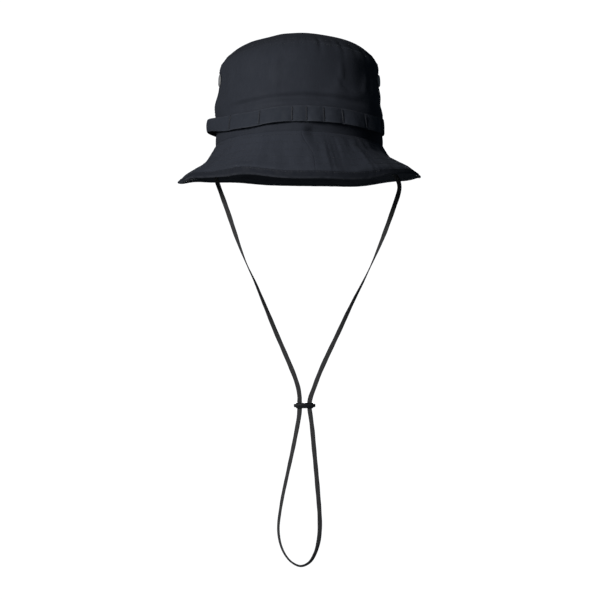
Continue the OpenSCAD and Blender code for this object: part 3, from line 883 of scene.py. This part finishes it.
def route(points, per):
    """A smooth curve through the route's points, in millimetres, as the CAD has it."""
    p = np.array(points, float) / MM
    last = len(p) - 1
    u = np.linspace(0, last, last * per + 1)
    i = np.minimum(np.floor(u).astype(int), last - 1)
    f = (u - i)[:, None]
    p0, p1, p2, p3 = p[np.maximum(0, i - 1)], p[i], p[i + 1], p[np.minimum(last, i + 2)]
    xz = 0.5 * (2 * p1 + (p2 - p0) * f + (2 * p0 - 5 * p1 + 4 * p2 - p3) * f ** 2
                + (3 * p1 - p0 - 3 * p2 + p3) * f ** 3)
    return np.stack([xz[:, 0], np.zeros(len(xz)), xz[:, 1]], -1)


def lace(name, points, stations, by_height):
    line = route(points, 9)
    way = np.gradient(line, axis=0)
    way /= np.linalg.norm(way, axis=1, keepdims=True)
    way[0], way[-1] = np.round(way[0]), np.round(way[-1])
    far = lengths(line, 0)
    at, turns = zip(*stations)
    turn = rad(np.interp(line[:, 2] if by_height else far / far[-1], at, turns))
    kernel = np.hanning(23) / np.hanning(23).sum()
    turn = np.convolve(np.pad(turn, 11, mode="edge"), kernel, mode="valid")
    across = np.stack([way[:, 2], np.zeros(len(line)), -way[:, 0]], -1)
    deep = np.array([0.0, 1.0, 0.0])
    wide = np.cos(turn)[:, None] * across + np.sin(turn)[:, None] * deep
    thin = -np.sin(turn)[:, None] * across + np.cos(turn)[:, None] * deep
    q = np.arange(20) * math.tau / 20
    w = LACE_W / 2 * power_of(np.cos(q), 0.75)
    t = LACE_T / 2 * power_of(np.sin(q), 0.55)
    pinch = 1 + 0.03 * np.sin(far / 3.1) + 0.025 * np.sin(far / 7.3 + 1)
    rings = (line[:, None] + wide[:, None] * w[None, :, None] * pinch[:, None, None]
             + thin[:, None] * t[None, :, None])
    return loft(name, rings), (line * MM).tolist()


def make_cords(mat):
    """Both legs and the loop, each a length of the same flat lace."""
    parts = [("lace_left_leg", LEFT_ROUTE, LEG_TWIST, True, "chin_cord_left_leg", 0.278),
             ("lace_right_leg", RIGHT_ROUTE, LEG_TWIST, True, "chin_cord_right_leg", 0.285),
             ("lace_loop", LOOP_ROUTE, LOOP_TWIST, False, "chin_cord_loop", 0.364)]
    for name, points, twist, by_height, node, length in parts:
        obj, path = lace(name, points, twist, by_height)
        dress(obj, mat)
        if by_height:
            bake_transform(obj)
        else:
            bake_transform(obj)
        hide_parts(node)


def outline(half_w, half_h, count):
    """A bar's outline with round ends, as (x, z) pairs that go round it."""
    straight = half_w - half_h
    q = np.arange(count) * math.tau / count
    x, z = np.cos(q), np.sin(q)
    return np.stack([np.sign(x) * straight * smooth(np.abs(x) * 6) + half_h * x, half_h * z], -1)


def make_lock(mat):
    """The cord lock: a moulded bar with a small nub at each end and a slot for each run of lace."""
    half_w = (LOCK_HIGH.x - LOCK_LOW.x) / 2 / MM
    half_h = (LOCK_HIGH.z - LOCK_LOW.z) / 2 / MM
    half_d = (LOCK_HIGH.y - LOCK_LOW.y) / 2 / MM
    nub, step, square = 2.4, 0.45, 0.42
    # Distance from the end and share of the bar's full height, over the nub and then the shoulder
    stations = [(1.1 * (1 - math.cos(q)), 0.30 + 0.34 * math.sin(q))
                for q in np.linspace(0, math.pi / 2, 6)]
    stations += [(nub, 0.64)]
    stations += [(nub + step * (1 - math.cos(q)), 0.84 + 0.16 * math.sin(q))
                 for q in np.linspace(0, math.pi / 2, 5)]
    stations = [(x - half_w, s) for x, s in stations]
    stations += [(-x, s) for x, s in reversed(stations)]
    q = np.arange(40) * math.tau / 40 + 0.0001
    y = power_of(np.cos(q), square)
    z = power_of(np.sin(q), square)
    rings = [np.stack([0 * q + x + LOCK_X, half_d * (0.35 + 0.65 * s) * y, half_h * s * z + LOCK_Z],
                      -1) for x, s in stations]
    obj = loft("cord_lock_body", np.array(rings))
    for x in RUN_X:
        slot = outline(2.9, 1.25, 40)
        tube = [[(x + a, b, LOCK_Z + z) for a, b in slot] for z in (-half_h - 2, half_h + 2)]
        cut(obj, loft("slot_cutter", np.array(tube)))
    bevel = obj.modifiers.new("soft_edges", "BEVEL")
    bevel.width, bevel.segments, bevel.limit_method = 0.3 * MM, 2, "ANGLE"
    bevel.angle_limit = math.radians(42)
    bevel.harden_normals = False
    dress(obj, mat)
    apply_all(obj)
    obj.data.shade_smooth()
    obj.data.set_sharp_from_angle(angle=math.radians(50))
    place(obj, "lock_plastic", ["cord_lock"], body="cord_lock")


def apply_all(obj):
    """Turns what the modifiers show into the mesh itself."""
    graph = bpy.context.evaluated_depsgraph_get()
    graph.update()
    mesh = bpy.data.meshes.new_from_object(obj.evaluated_get(graph), preserve_all_data_layers=True,
                                           depsgraph=graph)
    old = obj.data
    obj.modifiers.clear()
    obj.data = mesh
    mesh.name = obj.name
    bpy.data.meshes.remove(old)


def cut(obj, cutter):
    bm = bmesh.new()
    bm.from_mesh(cutter.data)
    bmesh.ops.recalc_face_normals(bm, faces=bm.faces)
    bm.to_mesh(cutter.data)
    bm.free()
    hole = obj.modifiers.new("hole", "BOOLEAN")
    hole.operation, hole.solver, hole.object = "DIFFERENCE", "EXACT", cutter
    apply_all(obj)
    bpy.data.objects.remove(cutter)


# Crown --------------------------------------------------------------------------------------

def vent_cutter(side, vent):
    """A short rod through the wall where a vent's eyelet is, out along the wall's own direction."""
    radius, reach = 4.3, 7
    a, z = side * vent[0], vent[1]
    centre = plain_wall(a, z, 0)
    out = oval(a, 1, 0) - oval(a, 0, 0)
    lean = math.atan((inset(z + 3) - inset(z - 3)) / 6)
    out = out * math.cos(lean) + np.array([0, 0, math.sin(lean)])
    side_way = np.cross([0, 0, 1.0], out)
    side_way /= np.linalg.norm(side_way)
    up = np.cross(out, side_way)
    q = np.arange(32) * math.tau / 32
    ring = radius * (np.cos(q)[:, None] * side_way + np.sin(q)[:, None] * up)
    return loft("vent_cutter", np.array([(centre + out * k)[None] + ring for k in (-reach, reach)]))


def make_wall(mats):
    near = np.array([0, 0.3, 0.7, 1.1, 1.6, 2.2, 3.0, 4.0]) / 92
    rows = np.concatenate([near, np.arange(near[-1] + 0.0145, 1 - near[-1], 0.0145),
                           1 - near[::-1]])
    for name, node, middle in (("crown_front_cloth", "crown_front_panel", 0),
                               ("crown_back_cloth", "crown_back_panel", 180)):
        angles = np.linspace(middle - 90 + 0.08, middle + 90 - 0.08, 241)
        a = angles[:, None]
        z = seam_z(a) + GAP + (tip_z(a) - seam_z(a) - 2 * GAP) * rows[None, :]
        side = -0.45 * np.exp(-((np.abs(a - middle) - 90) / 0.5) ** 2) + 0.0 * z
        worn = (np.exp(-(tip_z(a) - z) / 1.8) * 0.4
                + np.exp(-((np.abs(a - middle) - 90) / 0.9) ** 2) * 0.6)
        panel = shell(name, wall(a, z, side), wall(a, z, side - CROWN_T), wear=worn + 0 * z)
        for k in (-1, 1):
            cut(panel, vent_cutter(k, VENT_BEHIND if middle else VENT_AHEAD))
        place(panel, "crown_cloth", [node], mats["cloth"], mats["lining"])


def make_tip(mats):
    angles = np.arange(-180, 180, 0.75)
    away = np.array([0, 0.35, 0.75, 1.2, 1.8, 2.5, 3.3, 4.2, 5.3, 6.5, 8, 9.5, 11, 13, 15, 17.5, 20,
                     23, 26, 30, 34, 38, 43, 48, 53, 58, 63, 68, 72.5, 76, 78.6, 80])
    s = 1 - away / TIP_R
    a = angles[:, None]
    worn = 0.4 * np.exp(-away[None, :] / 1.8) + 0 * a
    top = shell("crown_tip_cloth", tip(a, s[None, :], 0.0), tip(a, s[None, :], -CROWN_T),
                closed=True, pole=True, flat_uv=True, wear=worn)
    place(top, "crown_cloth", ["crown_tip"], mats["tip"], mats["lining"])


def make_linings(mats):
    """What is inside the crown: the tip's binding, both seam tapes and the sweatband."""
    ring = np.arange(-180, 180, 1.0)
    a = ring[:, None]
    drop = np.linspace(6.1, 1.5, 9)[None, :]
    curl = 0.25 * np.sin(np.pi * np.linspace(0, 1, 9))[None, :]
    z = tip_z(a) - drop
    wave = 0.12 * ripple(a, 0.0, 41, range(17, 47, 4), 9)
    binding = shell("tip_seam_tape", wall(a, z, -1.95 - curl + wave),
                    wall(a, z, -2.6 - curl + wave), closed=True)
    place(binding, "seam_tape", ["tip_seam_binding"], mats["tape"], mats["tape"])
    for side, label in ((-90, "left"), (90, "right")):
        angles = side + np.linspace(-3.5, 3.5, 15)
        heights = np.linspace(35, 80, 46)[None, :]
        a, z = np.broadcast_arrays(angles[:, None], heights)
        puff = 0.18 * np.sin(np.pi * (a - side + 3.5) / 7) ** 2
        tape = shell("side_tape_" + label, wall(a, z, -CROWN_T - 0.5 - puff),
                     wall(a, z, -CROWN_T - 1.15 - puff))
        place(tape, "seam_tape", ["side_seam_tape_" + label], mats["tape"], mats["tape"])
    a = ring[:, None]
    h = np.concatenate([[0.8, 1.3, 2.0], np.linspace(3, 29, 27), [29.8, 30.4, SWEAT_H]])[None, :]
    z = sweat_z(a, h)
    arch = np.sin(np.pi * (h - 0.8) / 30.2)
    pad = 0.45 * arch ** 0.8
    wave = 0.22 * ripple(a, h, 43, range(7, 31, 3), 12) * arch
    press = 0.35 * hill(h, 27.6, 0.8) + 0.35 * hill(h, 3.4, 0.8)
    face = -CROWN_T - 0.75 + 0 * z
    inner = -CROWN_T - 1.55 - pad + wave * 0.6 + press
    band = shell("sweatband_strip", sweat_wall(a, z, face), sweat_wall(a, z, inner), closed=True)
    place(band, "sweatband", ["sweatband"], mats["sweat"], mats["sweat"])


# Brim ---------------------------------------------------------------------------------------

def brim_rows(last):
    """Shares of the brim's width, closer together beside the stitching."""
    rows = set(np.round(np.arange(0, last, 0.016), 4))
    rows |= {round(last, 4), 0.004, 0.009}
    for row in BRIM_ROWS:
        rows |= {round(row + k / BRIM_W, 4) for k in (-1.3, -0.75, -0.35, 0, 0.35, 0.75, 1.3)}
    rows = sorted(r for r in rows if 0 <= r <= last)
    kept = [rows[0]]
    for r in rows[1:]:
        if r - kept[-1] > 0.0045:
            kept.append(r)
    return np.array(kept)


def make_brim(mats):
    rows = brim_rows(BRIM_CUT)[::-1]
    for side, start in (("left", -180), ("right", 0)):
        angles = np.linspace(start + 0.03, start + 180 - 0.03, 251)
        plain = angles[:, None]
        a = plain + front_seam(plain, rows[None, :])
        worn = (hill(rows[None, :], BRIM_CUT, 0.02) * 0.6
                + np.exp(-((np.abs(plain) - 180) / 0.5) ** 2) * 0.8)
        top = shell("brim_top_" + side, brim(a, rows[None, :], 0.0),
                    brim(a, rows[None, :], -LAYER_T), wear=worn)
        place(top, "brim_cloth", ["brim_upper_" + side], mats["brim"], mats["brim"])
        few = np.linspace(start + 0.08, start + 180 - 0.08, 181)[:, None]
        under = shell("brim_lower_" + side, brim(few, rows[None, :], -2 * LAYER),
                      brim(few, rows[None, :], -2 * LAYER - LAYER_T))
        place(under, "brim_under_cloth", ["brim_under_" + side], mats["cloth"], mats["under"])
    ring = np.arange(-180, 180, 1.5)[:, None]
    coarse = np.linspace(0.94, 0.02, 40)[None, :]
    core = shell("brim_interlining", brim(ring, coarse, -LAYER),
                 brim(ring, coarse, -LAYER - LAYER_T), closed=True)
    place(core, "stiffener", ["brim_stiffener"], mats["felt"], mats["felt"])
    profile = [(0.905, 0.10), (0.9075, 0.36), (0.915, 0.44), (0.935, 0.42), (0.96, 0.42),
               (0.98, 0.44), (0.993, 0.3), (1.0015, -0.3), (1.0035, -1.0), (1.004, -1.8),
               (1.002, -2.6), (0.994, -3.15), (0.98, -3.36), (0.96, -3.38), (0.935, -3.38),
               (0.915, -3.4), (0.9075, -3.3), (0.905, -2.98), (0.908, -2.78), (0.94, -2.76),
               (0.968, -2.74), (0.974, -2.0), (0.974, -0.8), (0.968, 0.04), (0.94, 0.05),
               (0.908, 0.05)]
    ring = np.arange(-180, 180, 0.75)
    share = np.array([p[0] for p in profile])[None, :]
    depth = np.array([p[1] for p in profile])[None, :]
    a = ring[:, None]
    roll = 0.10 * ripple(a, 0.0, 51, range(41, 121, 6), 9) * (share > 0.96)
    edge = loft("brim_binding", brim(a, share, depth + roll)[:, ::-1], closed=True,
                wear=(hill(share, 1.002, 0.012) + 0 * a)[:, ::-1])
    place(edge, "edge_binding", ["brim_edge_binding"], mats["binding"])


# Band ---------------------------------------------------------------------------------------

def band_flare(a, v):
    """The lower edge hangs a little away from the crown; v is 0 at the lower edge."""
    round_front = 0.35 + 0.65 * front(a)
    held = 1 - 0.85 * bump(a, 0.5, 4.2)
    return (1.3 + 0.4 * smooth(a / 8)) * round_front * held * (1 - v) ** 1.4 * (1 - bump(a, 90, 25))


# Rows over the webbing's width, as shares from its lower edge, closer together at both edges
BAND_ROWS = np.concatenate([[0, 0.02, 0.05], np.linspace(0.09, 0.91, 15), [0.95, 0.98, 1]])


def band_surface(a, v, d):
    """Point on the band between the first tack and the last."""
    at = np.asarray(a, float)
    i = np.clip(np.searchsorted(TACKS, at, side="right") - 1, 0, len(TACKS) - 2)
    tacks = np.array(TACKS, float)
    length = tacks[i + 1] - tacks[i]
    q = np.clip((at - tacks[i]) / length, 0, 1)
    lift = BAND_PUFF * np.minimum(1, length / 20) * np.sin(np.pi * q) ** 2
    lift = lift * (1 - 0.85 * bump(at, 88, 20)) * (1 - 0.7 * v)
    near = np.minimum(q, 1 - q) * length
    dent = -0.5 * hill(near, 0, 1.6) * (0.35 + 0.65 * smooth((at + 18) / 10))
    lean = ripple(at, 8 * v, 61, range(9, 25, 3), 7) * 0.18
    pull = 0.28 * np.sin(np.pi * v * 2 + 0.6) * hill(near, 2.4, 1.6)
    stand = BAND_OFF + lift + dent + lean * np.sin(np.pi * q) + pull + band_flare(at, v)
    z = BAND_Z + BAND_W * v - 0.25 * np.sin(np.pi * q) ** 2 * np.minimum(1, length / 20)
    z = z - band_drop(at)
    return plain_wall(at, z, stand + slant(at, z) + d)


def loop_surface(a, v, d):
    """Point on the slack stretch at the left side, flat at its two ends."""
    first, last, flat = TACKS[-1] - 360.0, float(TACKS[0]), 1.4
    u = np.clip((a - first - flat) / (last - first - 2 * flat), 0, 1)
    arch = past(np.sin(np.pi * u ** 1.12))
    stand = BAND_OFF + LOOP_GAP * arch ** 1.5
    cup = 0.55 * (1 - (2 * v - 1) ** 2) * arch ** 0.5
    curl = 0.5 * ripple(a, 9 * v, 63, range(5, 14, 2), 9) * arch
    end = 1 - smooth(np.minimum(np.abs(a - first), np.abs(last - a)) / 14)
    stand = stand + cup - 0.3 + curl * 0.5 + band_flare(a, v) * end * 0.8
    sag = band_drop(a) + 0.6 * arch ** 0.8 + 0.25 * ripple(a, 0.0, 64, range(4, 10, 2), 9) * arch
    short = (2.3 * (1 - v) - 0.6 * v) * arch
    return plain_wall(a, BAND_Z + BAND_W * v - sag + short, np.maximum(stand, BAND_OFF * 0.7) + d)


def make_band(mats):
    v = BAND_ROWS[None, :]
    ends = hill(np.minimum(v, 1 - v), 0, 0.05)
    for name, node, surface, start, stop in (
            ("loop_band_webbing", "loop_band", band_surface, TACKS[0], TACKS[-1]),
            ("side_loop_webbing", "band_side_loop", loop_surface, TACKS[-1] - 360, TACKS[0])):
        count = int((stop - start) / 0.6) + 1
        a = np.linspace(start + 0.2, stop - 0.2, count)[:, None]
        face = BAND_T - 0.22 * ends - 0.4 * smooth((v - 0.55) / 0.45)
        band = shell(name, surface(a, v, face), surface(a, v, 0.07 * ends), wear=ends + 0 * a)
        place(band, "band_webbing", [node], mats["webbing"], mats["webbing"])
        length = float(lengths(surface(a[:, 0], 0.5, 0.0), 0)[-1])


def make_bartacks(mat):
    """Each tack is a dense zigzag of thread over the band, with two long threads under it."""
    runs = []
    for t in TACKS:
        count, half = 30, 0.52
        v = np.linspace(0.06, 0.94, count + 1)
        a0 = np.where(np.arange(count) % 2 == 0, t - half, t + half)
        a1 = np.where(np.arange(count) % 2 == 0, t + half, t - half)

        def spot(a, w):
            out = BAND_T + 0.55 - 0.4 * smooth((w - 0.55) / 0.45)
            base = band_surface(np.full_like(w, t), w, out)
            side = oval(a, 0, 0) - oval(np.full_like(a, t), 0, 0)
            return base + side

        starts, ends = spot(a0, v[:-1]), spot(a1, v[1:])
        normals = oval(np.full(count, t), 1, 0) - oval(np.full(count, t), 0, 0)
        runs.append((starts, ends, normals))
        for k in (-0.3, 0.3):
            w0, w1 = np.array([0.08, 0.36, 0.64]), np.array([0.38, 0.66, 0.94])
            runs.append((spot(np.full(3, t + k), w0) - normals[:3] * 0.25,
                         spot(np.full(3, t + k), w1) - normals[:3] * 0.25, normals[:3]))
    stitches("band_tack_threads", runs, 0.22, mat, ["band_bartacks"])


# Stitching ----------------------------------------------------------------------------------

def make_stitching(mat):
    ring = np.arange(-180, 180.01, 0.5)
    brim_top = [dashes(lambda a, s: brim(a, s, 0.02), ring, row) for row in BRIM_ROWS]
    brim_top.append(dashes(lambda a, s: brim(a, s, 0.48), ring, BINDING_ROW))
    stitches("brim_top_stitching", brim_top, 0.19, mat)

    def below(a, s):
        return brim(a, s, -2 * LAYER - LAYER_T - 0.02 - 0.72 * (s > 0.9))

    def flip(run):
        starts, ends, normals = run
        sign = np.where(normals[:, 2:] > 0, -1, 1)
        return starts, ends, normals * sign

    brim_low = [flip(dashes(below, ring + 0.4, row, turn=False))
                for row in BRIM_ROWS + [BINDING_ROW]]
    stitches("brim_under_stitching", brim_low, 0.23, mat)
    crown = [dashes(lambda a, z: wall(a, z, 0.02), ring, tip_z(ring) - 3.4, 2.8, 2.0)]
    heights = np.arange(31.5, 90, 0.5)
    for middle in (-90, 90):
        for k in (-1.5, 1.5):
            crown.append(dashes(lambda z, a: wall(a, z, 0.02), heights, middle + k, 2.8, 2.0))
    stitches("crown_stitching", crown, 0.23, mat)
    on_tip = dashes(lambda a, s: tip(a, s, 0.02), ring, 1 - 3.6 / TIP_R, 2.8, 2.0)
    stitches("tip_stitching", [on_tip], 0.23, mat)


def make_inner_stitching(mat):
    ring = np.arange(-180, 180.01, 0.5)

    def inside(runs):
        fixed = []
        for starts, ends, normals in runs:
            middle = (starts + ends) / 2
            toward = -middle * np.array([1, 1, 0.0])
            sign = np.where((normals * toward).sum(1, keepdims=True) < 0, -1, 1)
            fixed.append((starts, ends, normals * sign))
        return fixed

    def sweat(a, h):
        return sweat_wall(a, sweat_z(a, h), -CROWN_T - 1.62)

    runs = [dashes(sweat, ring, h, 3.2, 2.3, turn=False) for h in (3.4, 27.6)]
    for drop in (2.3, 5.3):
        runs.append(dashes(lambda a, z: wall(a, z, -2.72), ring, tip_z(ring) - drop, 3.2, 2.3,
                           turn=False))
    heights = np.arange(36, 79.6, 0.5)
    for middle in (-90, 90):
        for k in (-2.9, 2.9):
            runs.append(dashes(lambda z, a: wall(a, z, -CROWN_T - 1.2), heights, middle + k,
                               3.2, 2.3, turn=False))
    stitches("inner_stitching", inside(runs), 0.23, mat)


# Cord anchors and vents ---------------------------------------------------------------------

def on_brim(a, t, d):
    """Point at the curve's t on the plain brim, d out along its normal."""
    a, t, d = np.broadcast_arrays(a, t, d)
    x, z, nx, nz = brim_bend(a, t)
    return oval(a, x + d * nx, seam_z(a) - GAP + z + d * nz)


def make_anchors(mats):
    """Folded tabs of webbing, sewn up into the brim seam, that hold the lace's two ends."""

    def fold(t):
        return smooth((t - 0.2) / 0.16)

    def low_face(off, t):
        return -4.4 - 1.75 * fold(t) * (0.45 + 0.55 * np.exp(-(off / 2.9) ** 6))

    corners = [(-2.3, 0.13), (2.3, 0.13), (2.3, 0.27), (-2.3, 0.27), (-2.3, 0.13),
               (2.3, 0.27), (2.3, 0.13), (-2.3, 0.27)]
    for side, middle in (("left", -90.0), ("right", 90.0)):
        off, t = np.linspace(-3, 3, 13)[:, None], np.linspace(0.37, 0.08, 15)[None, :]
        tab = shell("cord_tab_" + side, on_brim(middle + off, t, -3.35 - 0.1 * fold(t)),
                    on_brim(middle + off, t, low_face(off, t)))
        place(tab, "anchor_webbing", ["cord_anchor_" + side], mats["tab"], mats["tab"])

        def under(k, q):
            return on_brim(middle + k, q, low_face(k, q) - 0.02)

        runs = []
        for (k0, q0), (k1, q1) in zip(corners, corners[1:]):
            parts = max(2, int(math.hypot((k1 - k0) * 1.55, (q1 - q0) * 32) / 1.7))
            f = np.linspace(0, 1, parts + 1)
            k, q = k0 + (k1 - k0) * f, q0 + (q1 - q0) * f
            spots = under(k, q)
            normal = np.cross(under(k + 0.05, q) - spots, under(k, q + 0.002) - spots)
            normal /= np.linalg.norm(normal, axis=1, keepdims=True)
            normal *= np.where(normal[:, 2:] > 0, -1, 1)
            gap = (spots[1:] - spots[:-1]) * 0.12
            runs.append((spots[:-1] + gap, spots[1:] - gap, normal[1:]))
        stitches("cord_tab_stitching_" + side, runs, 0.24, mats["thread"])


def dress_vents(mats):
    """The eyelets and their washers keep their CAD shape and get plated metal."""
    for name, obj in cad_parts.items():
        if name.startswith("vent_"):
            obj.data.materials.clear()
            dress(obj, mats["eyelet"] if "eyelets" in name else mats["washer"])


# Simulated cloth ----------------------------------------------------------------------------

def simulate_cloth():
    """Lets the wall and the brim slump a little, as worn cloth does, and keeps how far each spot
    moved. The seams, the band, the bound edge and the cord tabs hold it."""
    columns, wall_n, brim_n = 120, 20, 14
    a = (np.arange(columns) * 3.0)[:, None]
    up = np.linspace(0, 1, wall_n)[None, :]
    wall_z = seam_z(a) + (tip_z(a) - seam_z(a)) * up
    share = np.linspace(1, 0, brim_n)[None, :-1]
    rest_wall, rest_brim = wall(a, wall_z, 0.0), brim(a, share, 0.0)
    out_wall = wall(a, wall_z, 1.0) - rest_wall
    out_brim = brim(a, share, 1.0) - rest_brim
    grid = np.concatenate([rest_brim, rest_wall], 1)
    n, m = grid.shape[:2]
    i, j = quads(n, m, True)
    cloth = make("drape_cloth", grid.reshape(-1, 3), ((i % n) * m + j).tolist())
    weights = np.full((n, m), 0.12)
    weights[:, brim_n - 1:] = np.where(wall_z < 30, 0.85, 0.05)
    weights[:, [brim_n - 1, m - 1]] = 1.0
    weights[:, 0] = 0.9
    held = cloth.vertex_groups.new(name="held")
    for spot, weight in enumerate(weights.ravel().tolist()):
        held.add([spot], weight, "REPLACE")
    sim = cloth.modifiers.new("cloth", "CLOTH")
    s = sim.settings
    s.quality, s.mass = 6, 0.25
    s.tension_stiffness = s.compression_stiffness = 18.0
    s.shear_stiffness, s.bending_stiffness = 8.0, 0.6
    s.shrink_min = -0.035
    s.vertex_group_mass = "held"
    s.pin_stiffness = 6.0
    sim.collision_settings.use_collision = False
    sim.point_cache.frame_start, sim.point_cache.frame_end = 1, 24
    scene = bpy.context.scene
    for step in range(1, 25):
        scene.frame_set(step)
    graph = bpy.context.evaluated_depsgraph_get()
    seen = cloth.evaluated_get(graph).to_mesh()
    moved = np.zeros(len(seen.vertices) * 3, np.float32)
    seen.vertices.foreach_get("co", moved)
    cloth.evaluated_get(graph).to_mesh_clear()
    moved = moved.reshape(n, m, 3) / MM - grid
    bpy.data.objects.remove(cloth)
    scene.frame_set(1)
    most = 0.9
    sewn = 1 - 0.85 * (bump(a, -90, 24) + bump(a, 90, 24))

    def drift(part, way, fade):
        off = (part * way).sum(-1)
        return most * np.tanh((off - off.mean()) / most) * fade * sewn

    seam = np.zeros((n, 1))
    down = drift(moved[:, :brim_n - 1], out_brim, smooth((1 - share) / 0.12) * smooth(share / 0.1))
    DRAPE["brim"] = np.concatenate([seam, down[:, ::-1]], 1)
    DRAPE["wall"] = drift(moved[:, brim_n - 1:], out_wall,
                          smooth((wall_z - 29) / 8) * smooth((1 - up) / 0.1))


# The whole hat ------------------------------------------------------------------------------

def main():
    make_camera()
    lace_mat = braided("lace_braid", (0.044, 0.044, 0.045))
    make_cords(lace_mat)
    mats = {
        "cloth": woven("crown_twill", tuple(0.94 * c for c in NAVY)),
        # The tip's twill is the crown's navy made darker: painted shade for the top of the crown,
        # which turns away from the key light.
        "tip": woven("tip_twill_painted_shade", tuple(0.76 * c for c in NAVY), sheen=0.02),
        # The brim's twill is the crown's navy made lighter: painted light on the brim's upper face.
        "brim": woven("brim_twill_painted_light", tuple(1.17 * c for c in NAVY)),
        "lining": woven("inner_lining", LINING, 0.5, 0.05, 0.12),
        "under": woven("brim_underside", LINING, 0.62, 0.06, 0.1),
        "webbing": ribbed("band_webbing", WEBBING),
        # The edge tape is darker than the brim cloth: painted shade for the brim's turned-under
        # edge.
        "binding": ribbed("edge_tape_painted_shade", (0.0118, 0.0144, 0.0222), 0.8, 0.07),
        "tape": ribbed("seam_tape", LINING, 0.9, 0.1),
        "tab": ribbed("tab_webbing", LINING, 0.9, 0.12),
        "sweat": wicking("sweatband_knit", LINING),
        "felt": felted("interlining_felt", (0.12, 0.12, 0.125)),
        "thread": spun("sewing_thread", (0.028, 0.0315, 0.0415)),
        "dark_thread": spun("inner_thread", (0.024, 0.026, 0.032)),
        "eyelet": gunmetal("eyelet_plating", (0.52, 0.52, 0.52)),
        "washer": gunmetal("washer_plating", (0.12, 0.125, 0.135), 0.35),
    }
    make_lock(moulded("lock_plastic", (0.0030, 0.0037, 0.0065)))
    make_studio()
    simulate_cloth()
    make_linings(mats)
    make_wall(mats)
    make_tip(mats)
    make_brim(mats)
    make_band(mats)
    make_bartacks(mats["thread"])
    make_stitching(mats["thread"])
    make_inner_stitching(mats["dark_thread"])
    make_anchors(mats)
    dress_vents(mats)
    bpy.context.view_layer.update()


main()
